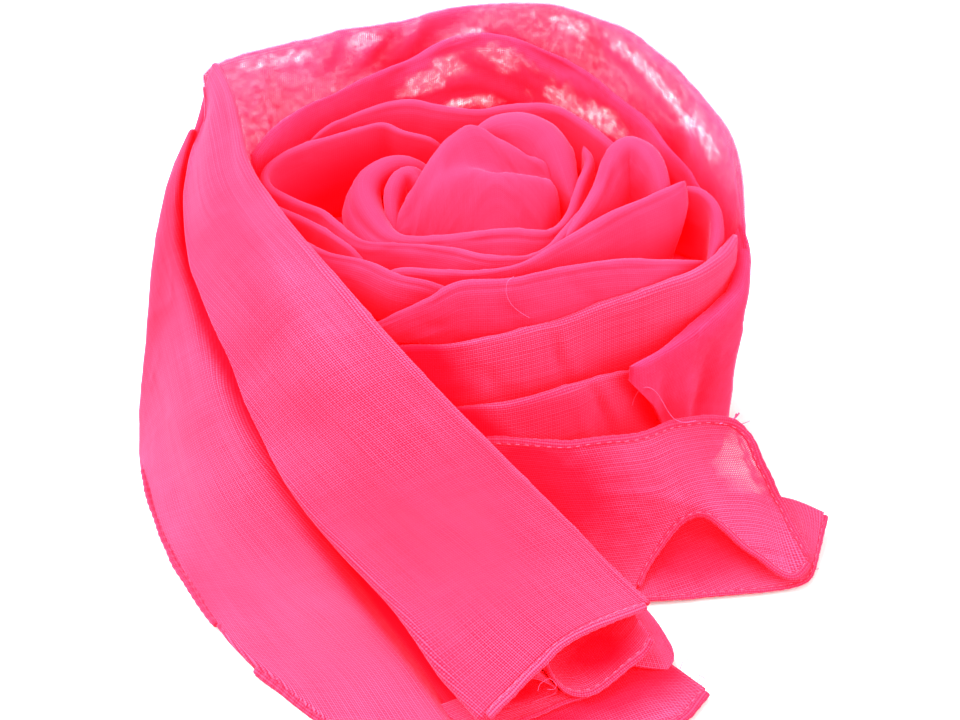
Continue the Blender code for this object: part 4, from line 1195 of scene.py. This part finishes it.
endUpper = dict(
    laidEnd, name="end_upper", restsOn=["turn_7_cloth", "end_lower_cloth"], seed=173,
    waves=[(16, 20, 0.5), (8, 11, 0.15)], across=44, spacing=1.0,
    thinPlaces=[(738, 462, 31, 24, 62, 1.25), (776, 562, 20, 10, 0, 0.85)], thin=0.02, finish=voileOpen,
    paintedShadePlaces=[(545, 485, 110, 60, 28, 0.85)],
    marks=[
        ([(600, 492), (657, 496), (698, 507), (716, 513)], 1.6, 0.7),
        ([(560, 470), (600, 520), (625, 560)], 4.0, -0.6),
    ],
    rows=[
        # top, middle, foot
        (-2, -63, 36.5, 4, -74, 19, 11, -83.5, 2),
        (6, -63.6, 36.3, 13, -76, 18.5, 21, -87, 2),
        (14, -64, 36, 22.5, -77, 18, 31, -89, 2),
        (22, -64.3, 35.5, 31, -76.5, 19, 40.6, -85.3, 2.5),
        (32, -62.1, 35, 39, -73.5, 20.5, 45, -79, 7),
        (42.9, -59.5, 34.5, 48, -68, 22, 52.7, -71.1, 13.5),
        (51.2, -55.5, 35, 56, -62, 24, 60.9, -68.7, 16),
        (60.5, -52.6, 34.4, 65.5, -59.6, 21.5, 69.5, -74.4, 11.5),
        (68.0, -52.0, 33.4, 73.5, -60.5, 19, 77, -79, 8),
        (70.5, -52.8, 31.8, 77.5, -62.5, 17.5, 83.5, -82, 5),
        (72.5, -53.6, 30, 81, -64.0, 16.0, 88.6, -77.0, 6.2),
    ],
)
endLower = dict(
    laidEnd, name="end_lower", restsOn=["packed_turns"], seed=179, waves=[(16, 18, 0.3)], across=30,
    spacing=1.1, thinPlaces=[(778, 562, 24, 11, 0, 0.85), (795, 530, 18, 12, 20, 0.35)], thin=0.02,
    finish=voileOpen, paintedShadePlaces=[(690, 560, 70, 28, 0, 0.65)],
    rows=[
        (30, -70, 5, 34, -79, 3, 37, -87.5, 1.5),
        (38, -67, 5, 42, -76, 3.2, 44, -86.5, 1.5),
        (49, -63, 6.5, 54, -72, 5, 59, -85.1, 1.5),
        (61, -58, 8, 68, -68, 6, 75, -83, 1.5),
        (75, -54.5, 9, 81, -64, 6.5, 86, -81, 1.5),
        (87, -55.2, 8, 89, -63, 6, 90, -77, 1.6),
        (96.2, -58.6, 6, 94.6, -64.4, 5, 91.6, -72.4, 2.6),
    ],
)

sheets = {}
for laid in (tailTop, tailUnder, tailMiddle, tailFold, tailLip, tailCorner, tailBottom, endUpper, endLower):
    sheets[laid["name"]] = makeLaid(laid)
print("free ends are laid")


# ---- the side of the tail's folded edge

tailReturn = {
    "name": "tail_return", "restsOn": ["packed_turns"], "seed": 181,
    "waves": [(18, 26, 0.5), (8, 12, 0.15)], "crinkles": laidCrinkles,
    "drop": [14, 15, 16, 18, 70, 62, 51, 38, 14, 4.5],
    "inset": 4.5, "tuck": 4.0, "below": 3.1,
}


def makeReturn(cloth, edge):
    table = [(*row[0:6], drop) for row, drop in zip(edge["rows"][1:], cloth["drop"])]
    rows = evenRows(table, 1.4, slice(0, 3))
    right, middle, drop = rows[:, 0:3], rows[:, 3:6], rows[:, 6]
    inward = middle - right
    inward /= np.linalg.norm(inward, axis=1)[:, None]
    level = inward * (1, 1, 0)
    level /= np.linalg.norm(level, axis=1)[:, None]
    top = right + inward * cloth["inset"] - np.array([0, 0, cloth["below"]])
    foot = top + level * cloth["tuck"]
    foot[:, 2] = np.maximum(top[:, 2] - drop, floorFoot)
    share = np.linspace(0, 1, 46)[None, :, None]
    points = foot[:, None] * (1 - share) + top[:, None] * share
    u, v = surfaceLengths(points)
    makeCloth(cloth, points, u, v, flatSize(u, v))


makeReturn(tailReturn, tailTop)
print("tail's folded edge is made")

# ---- rolled hems with their running stitch

hemShape = {
    "width": 2.5, "thick": 1.25,    # of the rolled edge, in mm
    "out": 0.5,                     # its middle lies this far outside the cloth's edge
    "sides": 12, "spacing": 0.55,
    "stitch": 2.7, "dash": 0.58,    # from stitch to stitch, and the share of it that shows
    "inset": 0.62,                  # stitches lie this share of half the width inwards
    "thread": 0.15,                 # radius
    "pucker": 0.16, "wobble": 0.22,
}
hems = [
    # name, cloth, border: side, from and to as shares of that side,
    # share of the full size, stitched, how much painted shade it gets, how far it turns flat
    ("hem_tail_end", "tail_top", [("end", 0.0, 1.0)], 1.0, True, 0.05, 0.0),
    ("hem_tail_side", "tail_under", [("last", 0.36, 1.0)], 1.2, True, 0.35, 1.6),
    ("hem_tail_middle", "tail_middle", [("last", 0.0, 1.0)], 0.85, True, 0.25, 0.0),
    ("hem_tail_fold", "tail_fold", [("last", 0.0, 1.0)], 0.45, False, 0.2, 0.0),
    ("hem_tail_lip", "tail_lip", [("last", 0.0, 1.0)], 0.7, False, 0.4, 0.0),
    ("hem_tail_bottom", "tail_bottom", [("last", 0.0, 1.0)], 1.15, True, 0.4, 0.0),
    ("hem_end_top", "end_upper", [("first", 0.04, 1.0), ("end", 0.03, 1.0)], 1.0, True, 0.35, 0.0),
    ("hem_end_wave", "end_upper", [("last", 0.34, 1.0)], 0.9, True, 0.35, 0.0),
    ("hem_end_lower", "end_lower", [("last", 0.0, 0.9), ("end", 0.9, 0.0)], 0.6, True, 0.25, 0.0),
]


def smoothed(line, reach):
    # a running mean that keeps the ends
    weights = np.ones(2 * reach + 1) / (2 * reach + 1)
    padded = np.concatenate([np.repeat(line[:1], reach, 0), line, np.repeat(line[-1:], reach, 0)])
    return np.stack([np.convolve(column, weights, "valid") for column in padded.T], 1)


def squareTo(vectors, axis):
    # what is left of each vector once the part along the axis is taken out
    return unit(vectors - axis * (vectors * axis).sum(1)[:, None])


def borderOf(grid, border):
    # points of the cloth's edge, with the way out of the cloth and off its face
    normal = upwardNormals(grid)
    rows, columns = grid.shape[:2]
    places, outs, faces = [], [], []
    for side, start, stop in border:
        if side in ("start", "end"):
            row, inner = (0, 1) if side == "start" else (rows - 1, rows - 2)
            picks = np.clip(np.linspace(start, stop, columns), 0, 1) * (columns - 1)
            cells = [(row, round(pick), inner, round(pick)) for pick in picks]
        else:
            column, inner = (0, 1) if side == "first" else (columns - 1, columns - 2)
            picks = np.linspace(start, stop, rows) * (rows - 1)
            cells = [(round(pick), column, round(pick), inner) for pick in picks]
        for row, column, innerRow, innerColumn in cells:
            places.append(grid[row, column])
            outs.append(grid[row, column] - grid[innerRow, innerColumn])
            faces.append(normal[row, column])
    line = np.concatenate([np.array(places), unit(np.array(outs)), np.array(faces)], 1)
    steps = np.linalg.norm(np.diff(line[:, :3], axis=0), axis=1)
    line = line[np.concatenate([[True], steps > 1e-6])]     # without doubled points
    run = lengthAlong(line[:, :3])
    count = round(run[-1] / hemShape["spacing"]) + 1
    line = smoothed(smoothed(evenlySpaced(line, run, count), 3), 2)
    along = unit(np.gradient(line[:, :3], axis=0))
    out = squareTo(line[:, 3:6], along)
    face = squareTo(squareTo(line[:, 6:9], along), out)
    return line[:, :3], out, face, np.linspace(0, run[-1], count)


def tubeSplines(name, lines, radius, material, sides=1):
    # many short threads as one mesh
    curve = bpy.data.curves.new(name, "CURVE")
    curve.dimensions = "3D"
    curve.bevel_depth = radius * mm
    curve.bevel_resolution = sides
    curve.use_fill_caps = True
    for line in lines:
        spline = curve.splines.new("POLY")
        spline.points.add(len(line) - 1)
        for knot, place in zip(spline.points, line):
            knot.co = (*(np.asarray(place) * mm), 1.0)
    holder = bpy.data.objects.new(name + "_path", curve)
    scarf.objects.link(holder)
    bpy.context.view_layer.update()
    mesh = bpy.data.meshes.new_from_object(holder.evaluated_get(bpy.context.evaluated_depsgraph_get()))
    bpy.data.objects.remove(holder)
    bpy.data.curves.remove(curve)
    body = bmesh.new()
    body.from_mesh(mesh)
    bmesh.ops.remove_doubles(body, verts=body.verts, dist=1e-7)
    body.to_mesh(mesh)
    body.free()
    mesh.name = name
    mesh.materials.clear()
    mesh.materials.append(material)
    mesh.shade_smooth()
    piece = bpy.data.objects.new(name, mesh)
    scarf.objects.link(piece)
    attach(piece, "root")
    return piece


def makeHem(name, clothName, border, size, stitched, paintedShade, flatten, seed):
    shape = dict(hemShape, width=hemShape["width"] * size, thick=hemShape["thick"] * size)
    place, out, face, run = borderOf(sheets[clothName][1], border)
    along = unit(np.gradient(place, axis=0))
    face = squareTo(unit(face + np.array([0.0, 0.0, flatten])), along)
    out = squareTo(out, face)
    wobble = shape["wobble"] * softNoise(run / 5, run * 0, seed)
    centre = place + out * (shape["out"] + wobble)[:, None]
    beat = np.sin(2 * math.pi * run / shape["stitch"] + softNoise(run / 9, run * 0, seed + 1))
    tall = shape["thick"] / 2 * (1 + shape["pucker"] * beat)
    uneven = 0.3 * shape["pucker"] * beat + 0.10 * softNoise(run / 7, run * 0, seed + 2)
    wide = shape["width"] / 2 * (1 + uneven)
    ends = np.clip(np.minimum(run, run[-1] - run) / 1.2, 0.0, 1.0) ** 0.5
    tall, wide = tall * (0.4 + 0.6 * ends), wide * (0.5 + 0.5 * ends)
    centre[:, 2] = np.maximum(centre[:, 2], tall + floorFoot)
    angles = np.linspace(0, 2 * math.pi, shape["sides"] + 1)
    circle = np.stack([[math.cos(angle), math.sin(angle)] for angle in angles])
    squarish = np.sign(circle) * np.abs(circle) ** 0.8
    points = np.stack([
        centre + out * (wide * c)[:, None] + face * (tall * d)[:, None] for c, d in squarish
    ], 1)
    around = angles * (shape["width"] + shape["thick"]) / 4
    u, v = np.meshgrid(around, run)
    # painted shade, the same along the whole band
    band = makeMesh(name + "_band", points, u, v, hemCloth, {"paintedShade": np.full_like(u, paintedShade)})
    body = bmesh.new()
    body.from_mesh(band.data)
    bmesh.ops.remove_doubles(body, verts=body.verts, dist=1e-6)
    bmesh.ops.holes_fill(body, edges=[edge for edge in body.edges if edge.is_boundary], sides=0)
    bmesh.ops.recalc_face_normals(body, faces=body.faces)
    body.to_mesh(band.data)
    body.free()
    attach(band, "root")
    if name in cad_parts:
        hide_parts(name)
    if not stitched:
        return [band]
    lines = []
    for number in range(int(run[-1] / shape["stitch"])):
        start = (number + 0.2 + 0.12 * math.sin(number * 5.1 + seed)) * shape["stitch"]
        shares = start + np.linspace(0, shape["dash"], 4) * shape["stitch"]
        if shares[-1] > run[-1]:
            break
        for side in (1, -1):
            line = []
            for share, sink in zip(shares, (-0.25, 0.07, 0.07, -0.25)):
                spot = [np.interp(share, run, column) for column in centre.T]
                outward = np.array([np.interp(share, run, column) for column in out.T])
                upward = np.array([np.interp(share, run, column) for column in face.T])
                half, high = np.interp(share, run, wide), np.interp(share, run, tall)
                lift = high * (1 - shape["inset"] ** 2.5) ** 0.4 + sink
                line.append(np.array(spot) - outward * half * shape["inset"] + upward * side * lift)
            lines.append(line)
    stitches = tubeSplines(name + "_stitches", lines, shape["thread"], stitchThread)
    return [band, stitches]


bands = {}
for number, (name, clothName, *settings) in enumerate(hems):
    bands.setdefault(clothName, []).extend(makeHem(name, clothName, *settings, 200 + 7 * number))

# ---- loose threads

threads = [
    # name, radius in mm, cloth that it hangs from, its points in mm
    ("thread_wall", 0.11, "end_upper", [
        (41.6, -47.2, 35.5), (42.2, -47.5, 38.9), (43.3, -50.6, 44.4), (45.5, -50.2, 44.3),
        (47.6, -49.3, 41.9), (49.4, -49.2, 38.9), (50.8, -51.0, 37.1), (52.3, -54.6, 37.1),
        (54.8, -56.2, 37.2), (58.3, -54.2, 36.1),
    ]),
    ("thread_tuft", 0.24, "end_upper", [
        (65.0, -52.6, 33.6), (67.2, -52.0, 33.9), (69.3, -51.5, 34.8), (70.3, -51.3, 36.4),
    ]),
    ("thread_tuft_side", 0.09, "end_upper", [
        (66.4, -52.6, 33.4), (68.0, -52.2, 33.4), (71.1, -51.8, 32.9), (73.5, -51.5, 33.7),
    ]),
    ("thread_tip", 0.20, "end_upper", [
        (69.3, -51.5, 34.8), (69.6, -51.4, 36.2),
    ]),
    ("thread_corner", 0.10, "end_lower", [
        (87.5, -78.5, 2.6), (88.8, -77.3, 2.0), (90.2, -76.0, 1.2), (92.7, -74.9, 0.6),
    ]),
    ("thread_edge", 0.08, "tail_bottom", [
        (50.7, -111.9, 2.6), (52.1, -108.4, 1.6), (54.7, -107.2, 0.9), (56.4, -107.6, 0.6),
        (56.4, -110.2, 0.6), (55.6, -112.2, 1.0),
    ]),
    ("thread_curl", 0.10, "tail_bottom", [
        (52.9, -114.6, 2.4), (53.8, -113.7, 2.0), (55.5, -112.7, 1.2), (56.8, -113.3, 0.8),
        (56.9, -114.6, 0.8), (55.7, -115.9, 1.2), (54.7, -115.4, 1.8), (55.8, -114.3, 2.0),
    ]),
    ("thread_mouth", 0.08, "tail_fold", [
        (14.1, -124.6, 9.4), (14.7, -123.1, 10.2), (17.0, -120.9, 9.6), (18.7, -121.6, 8.4),
        (18.2, -122.5, 7.6), (16.4, -123.0, 8.2),
    ]),
    ("thread_face", 0.07, "end_upper", [
        (8.9, -40.5, 73.9), (7.3, -41.6, 73.2), (6.8, -42.4, 70.9), (7.3, -43.0, 68.8), (8.4, -43.4, 66.8),
        (10.5, -43.8, 64.8), (13.2, -44.2, 63.1),
    ]),
]
for name, radius, clothName, places in threads:
    bands.setdefault(clothName, []).append(
        tubeSplines(name, [catmullRom(np.array(places, float), 6)], radius, looseThread))
print("hems are rolled and sewn")

bpy.context.view_layer.update()
